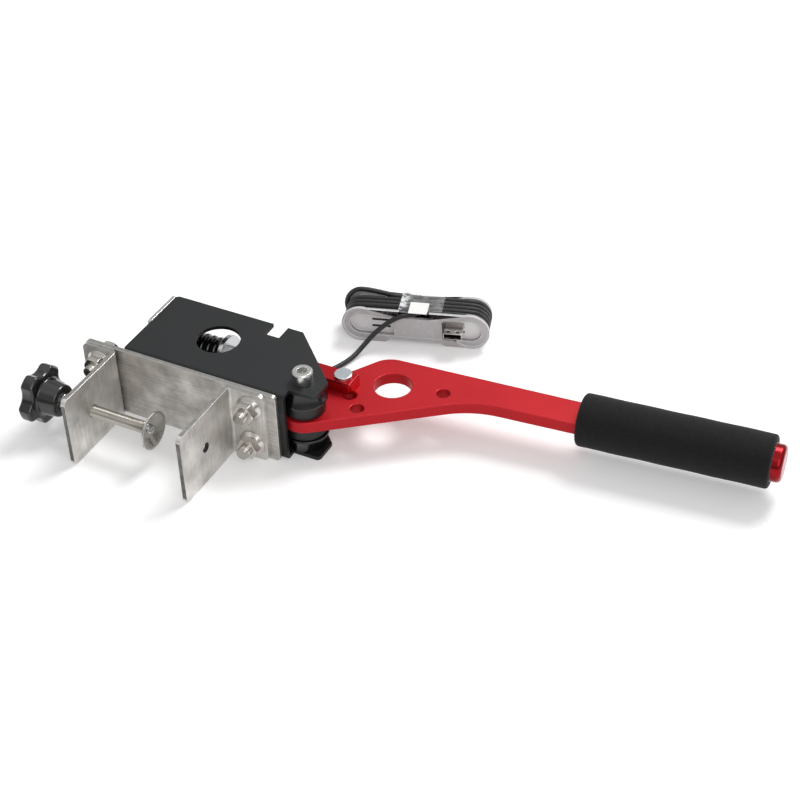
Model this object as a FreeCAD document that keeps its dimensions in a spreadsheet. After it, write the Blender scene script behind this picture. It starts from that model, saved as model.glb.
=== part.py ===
"""Sim racing handbrake, lying on its side.

Frame: the origin is on the lever's pivot axis, at the height of the surface it lies on.
+X runs along the housing towards the lever's tip, +Y from the clamp side to the housing's open side, +Z up.
All sizes are in millimetres and stand once, in the table SIZES.
"""
import FreeCAD
import Part
import Sketcher
import math
import os
from types import SimpleNamespace
from FreeCAD import Placement, Rotation, Vector

# Driving sizes: alias, value, meaning
SIZES = (
    ("play", 0.05, "radial play of a shaft that turns or slides in a bore"),
    ("face_gap", 0.1, "gap between two faces that slide past each other"),
    ("seat_gap", 0.3, "gap between loose neighbours"),
    ("sheet_thick", 2.5, "sheet of the housing"),
    ("housing_height", 50.0, "outside height over both side plates"),
    ("housing_left", 118.0, "pivot to the housing's left end"),
    ("web_inside", 16.6, "pivot to the web's inner face"),
    ("web_right", 3.2, "pivot to the web's right end"),
    ("far_edge", 42.9, "pivot to the side plates' far edge"),
    ("notch_left", 45.5, "pivot to the notch's left side"),
    ("notch_width", 10.5, "width of the notch in the far edge"),
    ("notch_depth", 11.6, "depth of the notch"),
    ("slope_start", 24.1, "pivot to the start of the sloping edge"),
    ("lobe_reach", 14.8, "pivot to the side plates' right edge"),
    ("lobe_shoulder", 4.7, "height of the sloping edge where it meets the right edge"),
    ("lobe_near", 11.5, "pivot to the side plates' near edge beside the web"),
    ("plate_corner", 3.0, "corner radius of the side plates"),
    ("bend_outside", 3.0, "outer radius of the sheet's bends"),
    ("bend_inside", 0.6, "inner radius of the sheet's bends"),
    ("sight_hole", 28.0, "diameter of the round hole in the side plates"),
    ("sight_x", 68.8, "pivot to the round hole along the housing"),
    ("sight_y", 14.0, "pivot to the round hole across the housing"),
    ("ear_reach", 140.0, "pivot to the end of the mounting ear"),
    ("ear_margin", 3.0, "how much lower the ear is than the housing, top and bottom"),
    ("tab_height", 9.0, "height of the two bent tabs that take the end plate's screws"),
    ("end_plate_thick", 2.5, "end plate"),
    ("end_plate_corner", 1.5, "corner radius of the end plate"),
    ("end_screw_near", 19.5, "pivot to the nearer end screws"),
    ("end_screw_far", 37.3, "pivot to the farther end screws"),
    ("end_screw_edge", 5.2, "end screws to the housing's outside faces"),
    ("small_screw", 3.0, "thread of the small screws"),
    ("small_head", 5.6, "head diameter of the small screws"),
    ("small_head_high", 2.2, "head height of the small screws"),
    ("small_screw_long", 7.0, "length of the small screws under the head"),
    ("plate_thick", 3.0, "stainless back plate"),
    ("plate_left", 145.0, "pivot to the back plate's left edge"),
    ("plate_right", 7.0, "pivot to the back plate's right edge"),
    ("bracket_thick", 3.0, "stainless brackets"),
    ("bracket_bend", 5.0, "outer bend radius of the brackets"),
    ("bracket_corner", 4.0, "corner radius of the jaws and flanges"),
    ("screw_jaw_face", 119.8, "pivot to the screw jaw's inner face"),
    ("clamp_opening", 78.9, "inner face to inner face of the jaws"),
    ("jaw_reach", 80.0, "pivot to the jaws' near edge"),
    ("right_flange_end", 13.5, "pivot to the end of the fixed jaw's flange"),
    ("jaw_hole", 6.6, "empty hole in the fixed jaw"),
    ("clamp_axis", 54.5, "pivot to the clamp screw's axis"),
    ("bolt_left", 133.0, "pivot to the left pair of mounting bolts"),
    ("bolt_right", 24.2, "pivot to the right pair of mounting bolts"),
    ("bolt_spacing", 27.0, "height between the bolts of a pair"),
    ("bolt_size", 8.0, "thread of the mounting bolts, pivot bolt, rod and clamp screw"),
    ("bolt_hole", 8.4, "clearance hole of the bolts"),
    ("bolt_stand_out", 3.0, "bolt end beyond its nut"),
    ("thread_bevel", 0.8, "bevel of a thread's end and of the pivot bolt's head"),
    ("hex_flats", 13.0, "width across flats"),
    ("hex_head_high", 5.3, "height of a hex head"),
    ("nut_high", 6.5, "height of a plain nut"),
    ("flange_nut_high", 8.0, "height of a flange nut"),
    ("flange_nut_wide", 17.6, "flange of a flange nut"),
    ("flange_nut_rim", 1.4, "rim height of the flange"),
    ("cap_head", 13.0, "head diameter of the pivot bolt"),
    ("cap_head_high", 8.0, "head height of the pivot bolt"),
    ("socket_flats", 6.0, "hex socket of the pivot bolt"),
    ("socket_deep", 4.0, "depth of the hex socket"),
    ("collar_wide", 27.6, "glossy collars on the pivot"),
    ("collar_high", 10.5, "height of a collar"),
    ("collar_round", 3.0, "rounded edge of a collar"),
    ("washer_wide", 26.2, "matt washers beside the lever"),
    ("lever_thick", 8.0, "lever plate"),
    ("pivot_end", 15.4, "radius of the lever's pivot end"),
    ("bush_outside", 12.0, "lever bush"),
    ("heel_x", 12.3, "heel of the lever, left of the pivot"),
    ("heel_y", 41.5, "heel of the lever, beyond the pivot"),
    ("heel_round", 1.2, "corner radius of the heel"),
    ("dip_x", 6.3, "dip in the lever's far edge"),
    ("dip_y", 40.8, "dip in the lever's far edge"),
    ("dip_round", 12.0, "radius of the dip"),
    ("shoulder_x", 22.6, "shoulder of the lever"),
    ("shoulder_y", 66.8, "shoulder of the lever"),
    ("shoulder_round", 17.0, "radius of the shoulder"),
    ("flank_angle", 37.2, "slope of the lever's near flank"),
    ("flank_round", 60.0, "radius where the flank meets the bar"),
    ("bar_wide", 22.0, "bar of the lever"),
    ("edge_break", 0.4, "broken edges of the lever"),
    ("grip_x", 155.4, "start of the grip"),
    ("grip_y", 66.4, "start of the grip"),
    ("grip_angle", 5.5, "slope of the grip"),
    ("big_hole", 24.0, "big hole of the lever"),
    ("big_hole_x", 38.8, "big hole of the lever"),
    ("big_hole_y", 42.3, "big hole of the lever"),
    ("small_hole", 8.6, "small holes of the lever"),
    ("bar_hole_x", 70.6, "small hole in the bar"),
    ("bar_hole_y", 48.6, "small hole in the bar"),
    ("near_hole_x", 29.2, "small hole by the near flank"),
    ("near_hole_y", 13.0, "small hole by the near flank"),
    ("mid_hole_x", 19.2, "small hole beside the clevis"),
    ("mid_hole_y", 22.6, "small hole beside the clevis"),
    ("pin_x", 11.4, "clevis pin, right of the pivot"),
    ("pin_y", 29.0, "clevis pin, beyond the pivot"),
    ("bar_in_grip", 6.0, "full bar that runs into the foam"),
    ("tongue_wide", 14.4, "tongue inside the grip tube"),
    ("tongue_long", 44.0, "tongue inside the grip tube"),
    ("tube_outside", 24.0, "grip tube"),
    ("tube_bore", 17.0, "grip tube"),
    ("cross_pin", 4.0, "pin through tube and tongue"),
    ("cross_pin_sink", 0.5, "ends of that pin below the tube's outside"),
    ("foam_outside", 33.4, "foam grip"),
    ("foam_long", 118.0, "foam grip"),
    ("foam_round", 4.0, "rounded ends of the foam"),
    ("cap_wide", 23.4, "end cap"),
    ("cap_stand_out", 6.5, "end cap beyond the foam"),
    ("cap_round", 3.0, "rounded edge of the end cap"),
    ("cap_stem", 14.0, "stem of the end cap inside the tube"),
    ("clevis_wide", 14.0, "clevis across the rod"),
    ("clevis_high", 23.0, "clevis over both arms"),
    ("clevis_tip", 20.0, "pivot to the arms' tips"),
    ("slot_end", 20.0, "pivot to the bottom of the fork"),
    ("shank_long", 10.0, "solid end of the clevis"),
    ("clevis_bevel", 1.2, "bevels of the clevis arms"),
    ("clevis_tip_bevel", 1.5, "bevels of the arms' tips"),
    ("pin_size", 8.0, "clevis pin"),
    ("pin_head", 11.5, "head of the clevis pin"),
    ("pin_head_high", 2.5, "head of the clevis pin"),
    ("pin_head_bevel", 0.3, "bevel of the pin's head"),
    ("pin_tip", 1.5, "end of the clevis pin beyond its clip"),
    ("pin_tip_bevel", 0.5, "bevel of the pin's end"),
    ("clip_wide", 12.0, "clip on the clevis pin"),
    ("clip_thick", 1.0, "clip on the clevis pin"),
    ("clip_groove", 1.0, "depth of the clip's groove"),
    ("rod_end", 130.0, "pivot to the rod's free end"),
    ("rod_short", 1.0, "rod short of the fork's floor"),
    ("rod_hole", 9.6, "hole of the end plate round the rod"),
    ("seat_face", 75.0, "pivot to the spring's side of its seat"),
    ("seat_wide", 28.0, "spring seat"),
    ("seat_thick", 3.0, "spring seat"),
    ("spring_wire", 3.5, "wire of the return spring"),
    ("spring_outside", 19.3, "outside of the return spring"),
    ("spring_turns", 8.0, "turns of the return spring"),
    ("spring_end_gap", 0.6, "gap between the first two and the last two turns"),
    ("magnet_wide", 6.0, "magnet in the lever's edge"),
    ("magnet_thick", 3.0, "magnet in the lever's edge"),
    ("magnet_sink", 0.3, "magnet below the edge's crest"),
    ("case_left", 66.0, "pivot to the sensor case's left wall"),
    ("case_long", 32.0, "sensor case"),
    ("case_room", 10.0, "housing's outside faces to the sensor case, above and below"),
    ("case_round", 2.0, "corner radius of the sensor case"),
    ("case_deep", 18.0, "sensor case from the web"),
    ("case_wall", 1.8, "wall of the sensor case"),
    ("case_ear", 6.0, "ears of the sensor case"),
    ("case_ear_wide", 10.0, "ears of the sensor case"),
    ("nose_gap", 2.8, "sensor nose to the lever's edge"),
    ("nose_high", 10.0, "sensor nose"),
    ("post_wide", 4.4, "posts for the lid screws"),
    ("post_inset", 1.5, "posts' middle from the case's inner walls"),
    ("lid_screw", 2.1, "thread of the lid screws"),
    ("lid_head", 3.9, "head diameter of the lid screws"),
    ("lid_head_high", 1.3, "head height of the lid screws"),
    ("rib_thick", 2.0, "ribs under the circuit board"),
    ("rib_apart", 11.4, "rib to rib under the circuit board"),
    ("board_wide", 19.0, "circuit board"),
    ("board_depth", 8.0, "web to the circuit board"),
    ("lid_thick", 2.0, "lid of the sensor case"),
    ("board_thick", 1.6, "circuit board"),
    ("gland_x", 48.0, "pivot to the cable gland"),
    ("gland_drop", 10.0, "cable gland below the housing's middle"),
    ("gland_wide", 8.0, "cable gland"),
    ("gland_long", 7.0, "cable gland beyond the lid"),
    ("gland_collar", 2.5, "height of the gland's full width"),
    ("gland_neck", 6.0, "gland above its collar"),
    ("gland_tip", 4.8, "gland's outer end"),
    ("pad_face", 75.0, "pivot to the pad's rim"),
    ("pad_wide", 24.8, "clamp pad"),
    ("pad_dish", 3.5, "depth of the pad's dish"),
    ("pad_skin", 1.5, "sheet of the pad"),
    ("pad_hub", 11.0, "flat middle of the pad"),
    ("pad_screw", 4.0, "screw in the pad"),
    ("pad_screw_head", 6.4, "screw in the pad"),
    ("pad_screw_high", 1.8, "screw in the pad"),
    ("pad_screw_long", 9.0, "screw in the pad, inside the rod"),
    ("rod_in_knob", 18.0, "clamp screw inside the knob"),
    ("knob_left", 164.0, "pivot to the knob's outer face"),
    ("knob_wide", 39.0, "knob over its lobes"),
    ("knob_rim", 12.0, "height of the lobes"),
    ("knob_long", 22.0, "knob from its outer face to its neck"),
    ("knob_neck", 14.0, "neck of the knob"),
    ("knob_shoulder", 27.0, "shoulder of the knob"),
    ("knob_scallop", 12.0, "radius of the hollows between lobes"),
    ("knob_scallop_out", 27.6, "centre of the hollows from the knob's axis"),
    ("knob_round", 2.4, "rounded edges of the lobes"),
    ("knob_tip_round", 3.2, "rounded corners between lobes and hollows"),
    ("knob_lobes", 5.0, "number of lobes"),
    ("knob_turn", 50.0, "direction of the first lobe"),
    ("insert_wide", 11.0, "metal insert of the knob"),
    ("insert_stand_out", 1.5, "metal insert beyond the neck"),
    ("insert_deep", 12.0, "metal insert inside the knob"),
    ("cable_wide", 3.4, "cable"),
    ("winder_angle", 17.58, "direction of the winder on the surface"),
    ("winder_front", 110.0, "winder's front face across its own length"),
    ("winder_left", 14.0, "left lobe's centre along the winder"),
    ("lobe_spacing", 72.7, "centre to centre of the winder's lobes"),
    ("lobe_radius", 13.3, "lobes of the winder's flanges"),
    ("waist_high", 15.6, "height of the flanges' waist"),
    ("lobe_leave", 76.0, "direction in which the flanges' edge leaves a lobe"),
    ("waist_left", 23.0, "waist from the left lobe's centre"),
    ("waist_long", 31.0, "waist of the winder"),
    ("flange_thick", 2.0, "flanges of the winder"),
    ("turn_pitch", 3.9, "strand to strand on the winder"),
    ("turn_count", 5.0, "strands side by side"),
    ("turn_radius", 10.9, "middle of the strands round a lobe"),
    ("loose_rise", 4.4, "how far the last strand bulges over the left lobe"),
    ("core_gap", 0.15, "strand to the winder's core"),
    ("core_wall", 1.3, "wall of the winder's core"),
    ("recess_wide", 11.9, "radius of the shallow recess in the lobes"),
    ("recess_deep", 1.0, "shallow recess in the lobes"),
    ("tray_radius", 7.8, "trays of the lobes"),
    ("tray_deep", 4.0, "depth of the trays"),
    ("tray_floor", 1.2, "floor of the trays"),
    ("panel_left", 22.0, "waist panel from the left lobe's centre"),
    ("panel_long", 33.0, "waist panel"),
    ("left_slot_x", 13.0, "left slots from the left lobe's centre"),
    ("slot_long", 12.6, "slots in the trays"),
    ("slot_high", 1.8, "slots in the trays"),
    ("slot_step", 5.2, "slot to slot"),
    ("slot_mid", 12.8, "height of the slots' middle"),
    ("plug_x", 62.5, "plug from the left lobe's centre"),
    ("shell_wide", 12.0, "plug shell"),
    ("shell_high", 4.5, "plug shell"),
    ("shell_wall", 0.3, "plug shell"),
    ("shell_long", 12.5, "plug shell"),
    ("shell_stand_out", 5.5, "plug shell beyond the winder's front face"),
    ("plug_wide", 15.6, "plug body"),
    ("plug_high", 7.6, "plug body"),
    ("plug_long", 17.0, "plug body"),
    ("relief_wide", 5.4, "plug's strain relief"),
    ("relief_long", 5.0, "plug's strain relief"),
    ("plug_round", 1.2, "rounded edges of the plug body"),
    ("shell_window", 2.2, "square windows of the plug shell"),
    ("tongue_high", 1.9, "tongue of the plug"),
    ("tongue_back", 1.0, "tongue behind the shell's front"),
    ("tape_left", 25.0, "tape from the left lobe's centre"),
    ("tape_wide", 29.0, "tape"),
    ("tape_thick", 0.3, "tape"),
    ("tag_side", 12.5, "tag"),
    ("tag_thick", 0.3, "tag"),
    ("tag_left", 32.0, "tag from the left lobe's centre"),
    ("tag_out", 1.5, "tag beyond the winder's front face"),
)

doc = FreeCAD.newDocument("Handbrake")
sheet = doc.addObject("Spreadsheet::Sheet", "Sizes")
pieces = {}


class Size:
    """A size with the sheet formula that it comes from, so that both stay together."""

    def __init__(self, text, value):
        self.text = text
        self.value = float(value)

    def __add__(self, other):
        other = as_size(other)
        return Size("(%s + %s)" % (self.text, other.text), self.value + other.value)

    def __sub__(self, other):
        other = as_size(other)
        return Size("(%s - %s)" % (self.text, other.text), self.value - other.value)

    def __mul__(self, other):
        other = as_size(other)
        return Size("(%s * %s)" % (self.text, other.text), self.value * other.value)

    def __truediv__(self, other):
        other = as_size(other)
        return Size("(%s / %s)" % (self.text, other.text), self.value / other.value)

    def __radd__(self, other):
        return as_size(other) + self

    def __rsub__(self, other):
        return as_size(other) - self

    def __rmul__(self, other):
        return as_size(other) * self

    def __neg__(self):
        return Size("(0 - %s)" % self.text, -self.value)


def as_size(number):
    """A plain number as a size of its own."""
    if isinstance(number, Size):
        return number
    return Size("(%s)" % repr(float(number)), number)


def cosine(angle):
    return Size("cos(%s * 1 deg)" % angle.text, math.cos(math.radians(angle.value)))


def sine(angle):
    return Size("sin(%s * 1 deg)" % angle.text, math.sin(math.radians(angle.value)))


def fill_sheet():
    """Writes the table into the sheet and gives each size back under its alias."""
    found = {}
    for row, (alias, value, meaning) in enumerate(SIZES, start=1):
        sheet.set("A%d" % row, alias)
        sheet.set("B%d" % row, str(value))
        sheet.set("C%d" % row, meaning)
        sheet.setAlias("B%d" % row, alias)
        found[alias] = Size("Sizes." + alias, value)
    doc.recompute()
    return SimpleNamespace(**found)


d = fill_sheet()
middle = d.housing_height / 2
web_outside = d.web_inside + d.sheet_thick
plate_front = web_outside + d.plate_thick
flange_front = plate_front + d.bracket_thick
case_high = d.housing_height - d.case_room * 2

# Proportions of a pan head and of its cross recess, and of a hexagon's turned corners
PAN_RIM = 0.55
PAN_TOP = 0.32
RECESS_REACH = 0.3
RECESS_HALF_WIDE = 0.06
RECESS_DEPTH = 0.5
HEX_TURNED = 0.48

# How far a cut or a root runs past the face where it starts, and how closely an edge is picked
OVERRUN = 1.0
NEAR = 0.02


def bind(thing, prop, size):
    """Ties a property to its formula in the sheet."""
    size = as_size(size)
    thing.setExpression(prop, size.text)


def place(thing, x=0, y=0, z=0, rotation=None):
    """Puts a piece in its place, each coordinate tied to its formula."""
    base = [as_size(number) for number in (x, y, z)]
    thing.Placement = Placement(Vector(*[size.value for size in base]), rotation or Rotation())
    for letter, size in zip("xyz", base):
        bind(thing, "Placement.Base." + letter, size)


def new_body(name):
    body = doc.addObject("PartDesign::Body", name)
    body.Label = name
    return body


def piece(name, thing):
    """Enters a finished sub-part under the name of its node."""
    thing.Label = name
    pieces[name] = thing
    return thing


def sketch_on(body, name, role, offset=0):
    """A sketch on one of the body's own origin planes, moved along the plane's normal."""
    sketch = body.newObject("Sketcher::SketchObject", name)
    plane = next(item for item in body.Origin.OriginFeatures if item.Role == role)
    sketch.AttachmentSupport = [(plane, "")]
    sketch.MapMode = "FlatFace"
    offset = as_size(offset)
    sketch.AttachmentOffset = Placement(Vector(0, 0, offset.value), Rotation())
    bind(sketch, "AttachmentOffset.Base.z", offset)
    return sketch


def fix_point(sketch, shape_index, end, point):
    """Holds one point of the sketch at its two bound coordinates."""
    for kind, size in zip(("DistanceX", "DistanceY"), point):
        size = as_size(size)
        index = sketch.addConstraint(Sketcher.Constraint(kind, shape_index, end, size.value))
        bind(sketch, "Constraints[%d]" % index, size)


def outline(sketch, points):
    """Closed outline of straight edges through points of bound coordinates."""
    flat = [Vector(as_size(x).value, as_size(y).value, 0) for x, y in points]
    first = sketch.GeometryCount
    for start, end in zip(flat, flat[1:] + flat[:1]):
        sketch.addGeometry(Part.LineSegment(start, end), False)
    count = len(flat)
    for step in range(count):
        after = first + (step + 1) % count
        sketch.addConstraint(Sketcher.Constraint("Coincident", first + step, 2, after, 1))
    for step, point in enumerate(points):
        fix_point(sketch, first + step, 1, point)


def circle(sketch, x, y, diameter):
    diameter = as_size(diameter)
    centre = Vector(as_size(x).value, as_size(y).value, 0)
    index = sketch.addGeometry(Part.Circle(centre, Vector(0, 0, 1), diameter.value / 2), False)
    fix_point(sketch, index, 3, (x, y))
    size_index = sketch.addConstraint(Sketcher.Constraint("Diameter", index, diameter.value))
    bind(sketch, "Constraints[%d]" % size_index, diameter)


def rectangle(sketch, left, low, right, high):
    outline(sketch, ((left, low), (right, low), (right, high), (left, high)))


def pad(body, sketch, length, both_ways=False, backwards=False):
    feature = body.newObject("PartDesign::Pad", sketch.Name + "_pad")
    feature.Profile = sketch
    bind(feature, "Length", length)
    feature.SideType = "Symmetric" if both_ways else "One side"
    feature.Reversed = backwards
    doc.recompute()
    return feature


def pocket(body, sketch, length, both_ways=False, backwards=False):
    """Cuts the sketch out and makes sure that it took something away."""
    before = body.Shape.Volume
    feature = body.newObject("PartDesign::Pocket", sketch.Name + "_pocket")
    feature.Profile = sketch
    bind(feature, "Length", length)
    feature.SideType = "Symmetric" if both_ways else "One side"
    feature.Reversed = backwards
    doc.recompute()
    if not body.Shape.Volume < before:
        raise RuntimeError("nothing was cut by " + sketch.Name)
    return feature


def turned(body, sketch, axis):
    """Solid of revolution about the sketch's own H_Axis or V_Axis."""
    feature = body.newObject("PartDesign::Revolution", sketch.Name + "_turned")
    feature.Profile = sketch
    feature.ReferenceAxis = (sketch, [axis])
    feature.Angle = 360.0
    doc.recompute()
    return feature


def edge_names(shape, wanted):
    return ["Edge%d" % (index + 1) for index, edge in enumerate(shape.Edges) if wanted(edge)]


def round_edges(body, name, radius, wanted):
    """Fillet on every edge of the body that the test picks."""
    base = body.Tip
    feature = body.newObject("PartDesign::Fillet", name)
    feature.Base = (base, edge_names(base.Shape, wanted))
    bind(feature, "Radius", radius)
    doc.recompute()
    return feature


def bevel_edges(body, name, size, wanted):
    base = body.Tip
    feature = body.newObject("PartDesign::Chamfer", name)
    feature.Base = (base, edge_names(base.Shape, wanted))
    bind(feature, "Size", size)
    doc.recompute()
    return feature


def along(edge, axis):
    """Whether a straight edge runs along the axis."""
    if edge.Curve.TypeId != "Part::GeomLine":
        return False
    direction = edge.Curve.Direction
    return abs(abs(direction.dot(axis)) - 1) < 1e-6


def middle_of(edge):
    return edge.valueAt((edge.FirstParameter + edge.LastParameter) / 2)


def upright_at(*places):
    """Test for the upright edges over the given places of the plan."""
    spots = [(as_size(x).value, as_size(y).value) for x, y in places]

    def wanted(edge):
        if not along(edge, Vector(0, 0, 1)):
            return False
        spot = middle_of(edge)
        return any(math.hypot(spot.x - x, spot.y - y) < NEAR for x, y in spots)

    return wanted


def lengthwise_at(*places):
    """Test for the edges along X that pass through the given Y and Z."""
    spots = [(as_size(y).value, as_size(z).value) for y, z in places]

    def wanted(edge):
        if not along(edge, Vector(1, 0, 0)):
            return False
        spot = middle_of(edge)
        return any(math.hypot(spot.y - y, spot.z - z) < NEAR for y, z in spots)

    return wanted


def crosswise_at(*places):
    """Test for the edges along Y that pass through the given X and Z."""
    spots = [(as_size(x).value, as_size(z).value) for x, z in places]

    def wanted(edge):
        if not along(edge, Vector(0, 1, 0)):
            return False
        spot = middle_of(edge)
        return any(math.hypot(spot.x - x, spot.z - z) < NEAR for x, z in spots)

    return wanted


def group_of_copies(name, body, placements):
    """One node of identical pieces, each a solid of its own."""
    solids = []
    for where in placements:
        solid = body.Shape.copy()
        solid.Placement = where.multiply(solid.Placement)
        solids.append(solid)
    group = doc.addObject("Part::Feature", name)
    group.Shape = Part.makeCompound(solids)
    body.Label = name + "_single"
    return piece(name, group)


def hex_points(flats):
    """Corners of a hexagon by its width across flats, two of them on the X axis."""
    reach = flats / math.sqrt(3)
    half = flats / 2
    return (
        (reach, 0), (reach / 2, half), (-reach / 2, half),
        (-reach, 0), (-reach / 2, -half), (reach / 2, -half),
    )


def hex_nut(body, name, flats, height, bore):
    """Plain hex nut that stands on the XY plane, its corners turned off at both ends."""
    blank = sketch_on(body, name + "_hex", "XY_Plane")
    outline(blank, hex_points(flats))
    pad(body, blank, height)
    turn_off_corners(body, name, flats, height)
    hole = sketch_on(body, name + "_bore", "XY_Plane")
    circle(hole, 0, 0, bore)
    pocket(body, hole, height * 3, both_ways=True)


def turn_off_corners(body, name, flats, height):
    """Thirty degree cone that takes the corners of a hexagon off at its upper end."""
    reach = flats / math.sqrt(3) + OVERRUN
    flat_reach = flats * HEX_TURNED
    drop = (reach - flat_reach) * math.tan(math.radians(30))
    profile = sketch_on(body, name + "_corners", "XZ_Plane")
    over = height + OVERRUN
    outline(profile, ((flat_reach, height), (reach, height - drop), (reach, over), (flat_reach, over)))
    groove = body.newObject("PartDesign::Groove", name + "_turned_corners")
    groove.Profile = profile
    groove.ReferenceAxis = (profile, ["V_Axis"])
    groove.Angle = 360.0
    doc.recompute()


def make_housing():
    """Folded channel: two side plates of one outline, joined by the web, with an ear and two end tabs."""
    body = new_body("housing_channel")
    plan = sketch_on(body, "housing_plan", "XY_Plane")
    notch_floor = d.far_edge - d.notch_depth
    notch_right = d.notch_left - d.notch_width
    outline(plan, (
        (-d.housing_left, -web_outside),
        (-d.web_right, -web_outside),
        (-d.web_right, -d.lobe_near),
        (d.lobe_reach, -d.lobe_near),
        (d.lobe_reach, d.lobe_shoulder),
        (-d.slope_start, d.far_edge),
        (-notch_right, d.far_edge),
        (-notch_right, notch_floor),
        (-d.notch_left, notch_floor),
        (-d.notch_left, d.far_edge),
        (-d.housing_left, d.far_edge),
    ))
    pad(body, plan, d.housing_height)
    round_edges(body, "plate_corners", d.plate_corner, upright_at(
        (-d.housing_left, d.far_edge), (d.lobe_reach, -d.lobe_near)))
    round_edges(body, "bends_outside", d.bend_outside, lengthwise_at(
        (-web_outside, 0), (-web_outside, d.housing_height)))
    inside = sketch_on(body, "housing_inside", "XY_Plane", middle)
    reach = d.far_edge + d.lobe_reach
    rectangle(inside, -d.housing_left + d.sheet_thick, -d.web_inside, reach, reach)
    pocket(body, inside, d.housing_height - d.sheet_thick * 2, both_ways=True)
    mouth = sketch_on(body, "tab_opening", "XY_Plane", middle)
    rectangle(
        mouth, -d.housing_left - OVERRUN, -d.web_inside, -d.housing_left + d.sheet_thick + OVERRUN, reach)
    tab_inside = d.sheet_thick + d.tab_height
    pocket(body, mouth, d.housing_height - tab_inside * 2, both_ways=True)
    round_edges(body, "bends_inside", d.bend_inside, lengthwise_at(
        (-d.web_inside, d.sheet_thick), (-d.web_inside, d.housing_height - d.sheet_thick)))
    ear = sketch_on(body, "housing_ear", "XZ_Plane", d.web_inside)
    rectangle(ear, -d.ear_reach, d.ear_margin, -d.housing_left + OVERRUN, d.housing_height - d.ear_margin)
    pad(body, ear, d.sheet_thick)
    holes = sketch_on(body, "plate_holes", "XY_Plane")
    circle(holes, -d.sight_x, d.sight_y, d.sight_hole)
    circle(holes, 0, 0, d.bolt_hole)
    pocket(body, holes, d.housing_height * 3, both_ways=True)
    bolt_holes(body, "housing_bolts", d.web_inside * 1.5, (d.bolt_left, d.bolt_right))
    screws = sketch_on(body, "tab_screw_holes", "YZ_Plane", -d.housing_left)
    for y, z in end_screw_places():
        circle(screws, y, z, d.small_screw)
    pocket(body, screws, d.sheet_thick * 3, both_ways=True)
    case_screws = sketch_on(body, "case_screw_holes", "XZ_Plane", d.web_inside)
    for x, z in case_screw_places():
        circle(case_screws, x, z, d.small_screw)
    pocket(body, case_screws, d.sheet_thick * 3, both_ways=True)
    return piece("housing_channel", body)


def bolt_holes(body, name, reach, columns):
    """Clearance holes for the mounting bolts, in the columns given."""
    sketch = sketch_on(body, name, "XZ_Plane", web_outside)
    for column in columns:
        for side in (-1, 1):
            circle(sketch, -column, middle + d.bolt_spacing / 2 * side, d.bolt_hole)
    pocket(body, sketch, reach, both_ways=True)


def end_screw_places():
    for y in (d.end_screw_near, d.end_screw_far):
        for z in (d.end_screw_edge, d.housing_height - d.end_screw_edge):
            yield y, z


def case_screw_places():
    x = -d.case_left + d.case_long / 2
    for side in (-1, 1):
        yield x, middle + (case_high + d.case_ear) / 2 * side


def make_end_plate():
    body = new_body("end_plate")
    plan = sketch_on(body, "end_plate_outline", "YZ_Plane", -d.housing_left)
    rectangle(plan, -d.web_inside + d.face_gap, 0, d.far_edge, d.housing_height)
    pad(body, plan, d.end_plate_thick, backwards=True)
    holes = sketch_on(body, "end_plate_holes", "YZ_Plane", -d.housing_left)
    circle(holes, d.pin_y, middle, d.rod_hole)
    for y, z in end_screw_places():
        circle(holes, y, z, d.small_screw + d.seat_gap)
    pocket(body, holes, d.end_plate_thick * 3, both_ways=True)
    round_edges(body, "end_plate_corners", d.end_plate_corner, lengthwise_at(
        (d.far_edge, 0), (d.far_edge, d.housing_height)))
    return piece("end_plate", body)


def pan_screw(name, thread, head, head_high, length):
    """Pan head screw along +Z, its head's seat on the XY plane and its shank below."""
    body = new_body(name)
    profile = sketch_on(body, name + "_profile", "XZ_Plane")
    outline(profile, (
        (0, -length), (thread / 2, -length), (thread / 2, 0), (head / 2, 0),
        (head / 2, head_high * PAN_RIM), (head * PAN_TOP, head_high), (0, head_high),
    ))
    turned(body, profile, "V_Axis")
    recess = sketch_on(body, name + "_recess", "XY_Plane", head_high)
    reach, half = head * RECESS_REACH, head * RECESS_HALF_WIDE
    rectangle(recess, -reach, -half, reach, half)
    pocket(body, recess, head_high * RECESS_DEPTH)
    cross = sketch_on(body, name + "_cross", "XY_Plane", head_high)
    rectangle(cross, -half, -reach, half, reach)
    pocket(body, cross, head_high * RECESS_DEPTH)
    return body


def make_small_screws():
    """Screws of the end plate, of the sensor case and of its lid: one pattern, three nodes."""
    outward = Rotation(Vector(0, 1, 0), -90)
    body = pan_screw("end_screw", d.small_screw, d.small_head, d.small_head_high, d.small_screw_long)
    left = -(d.housing_left + d.end_plate_thick)
    group_of_copies("end_plate_screws", body, [
        Placement(Vector(left.value, y.value, z.value), outward) for y, z in end_screw_places()])
    inward = Rotation(Vector(1, 0, 0), -90)
    case_body = pan_screw(
        "case_screw", d.small_screw, d.small_head, d.small_head_high, d.sheet_thick + d.case_wall)
    seat = -d.web_inside + d.case_wall
    group_of_copies("sensor_case_screws", case_body, [
        Placement(Vector(x.value, seat.value, z.value), inward) for x, z in case_screw_places()])
    lid_body = pan_screw("lid_screw", d.lid_screw, d.lid_head, d.lid_head_high, d.small_screw_long)
    top = lid_front()
    group_of_copies("sensor_lid_screws", lid_body, [
        Placement(Vector(x.value, top.value, z.value), inward) for x, z in lid_screw_places()])


def lid_front():
    return -d.web_inside + d.case_deep + d.lid_thick


def lid_screw_places():
    inset = d.case_wall + d.post_inset
    for x in (-d.case_left + inset, -d.case_left + d.case_long - inset):
        for side in (-1, 1):
            yield x, middle + (case_high / 2 - inset) * side


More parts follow.
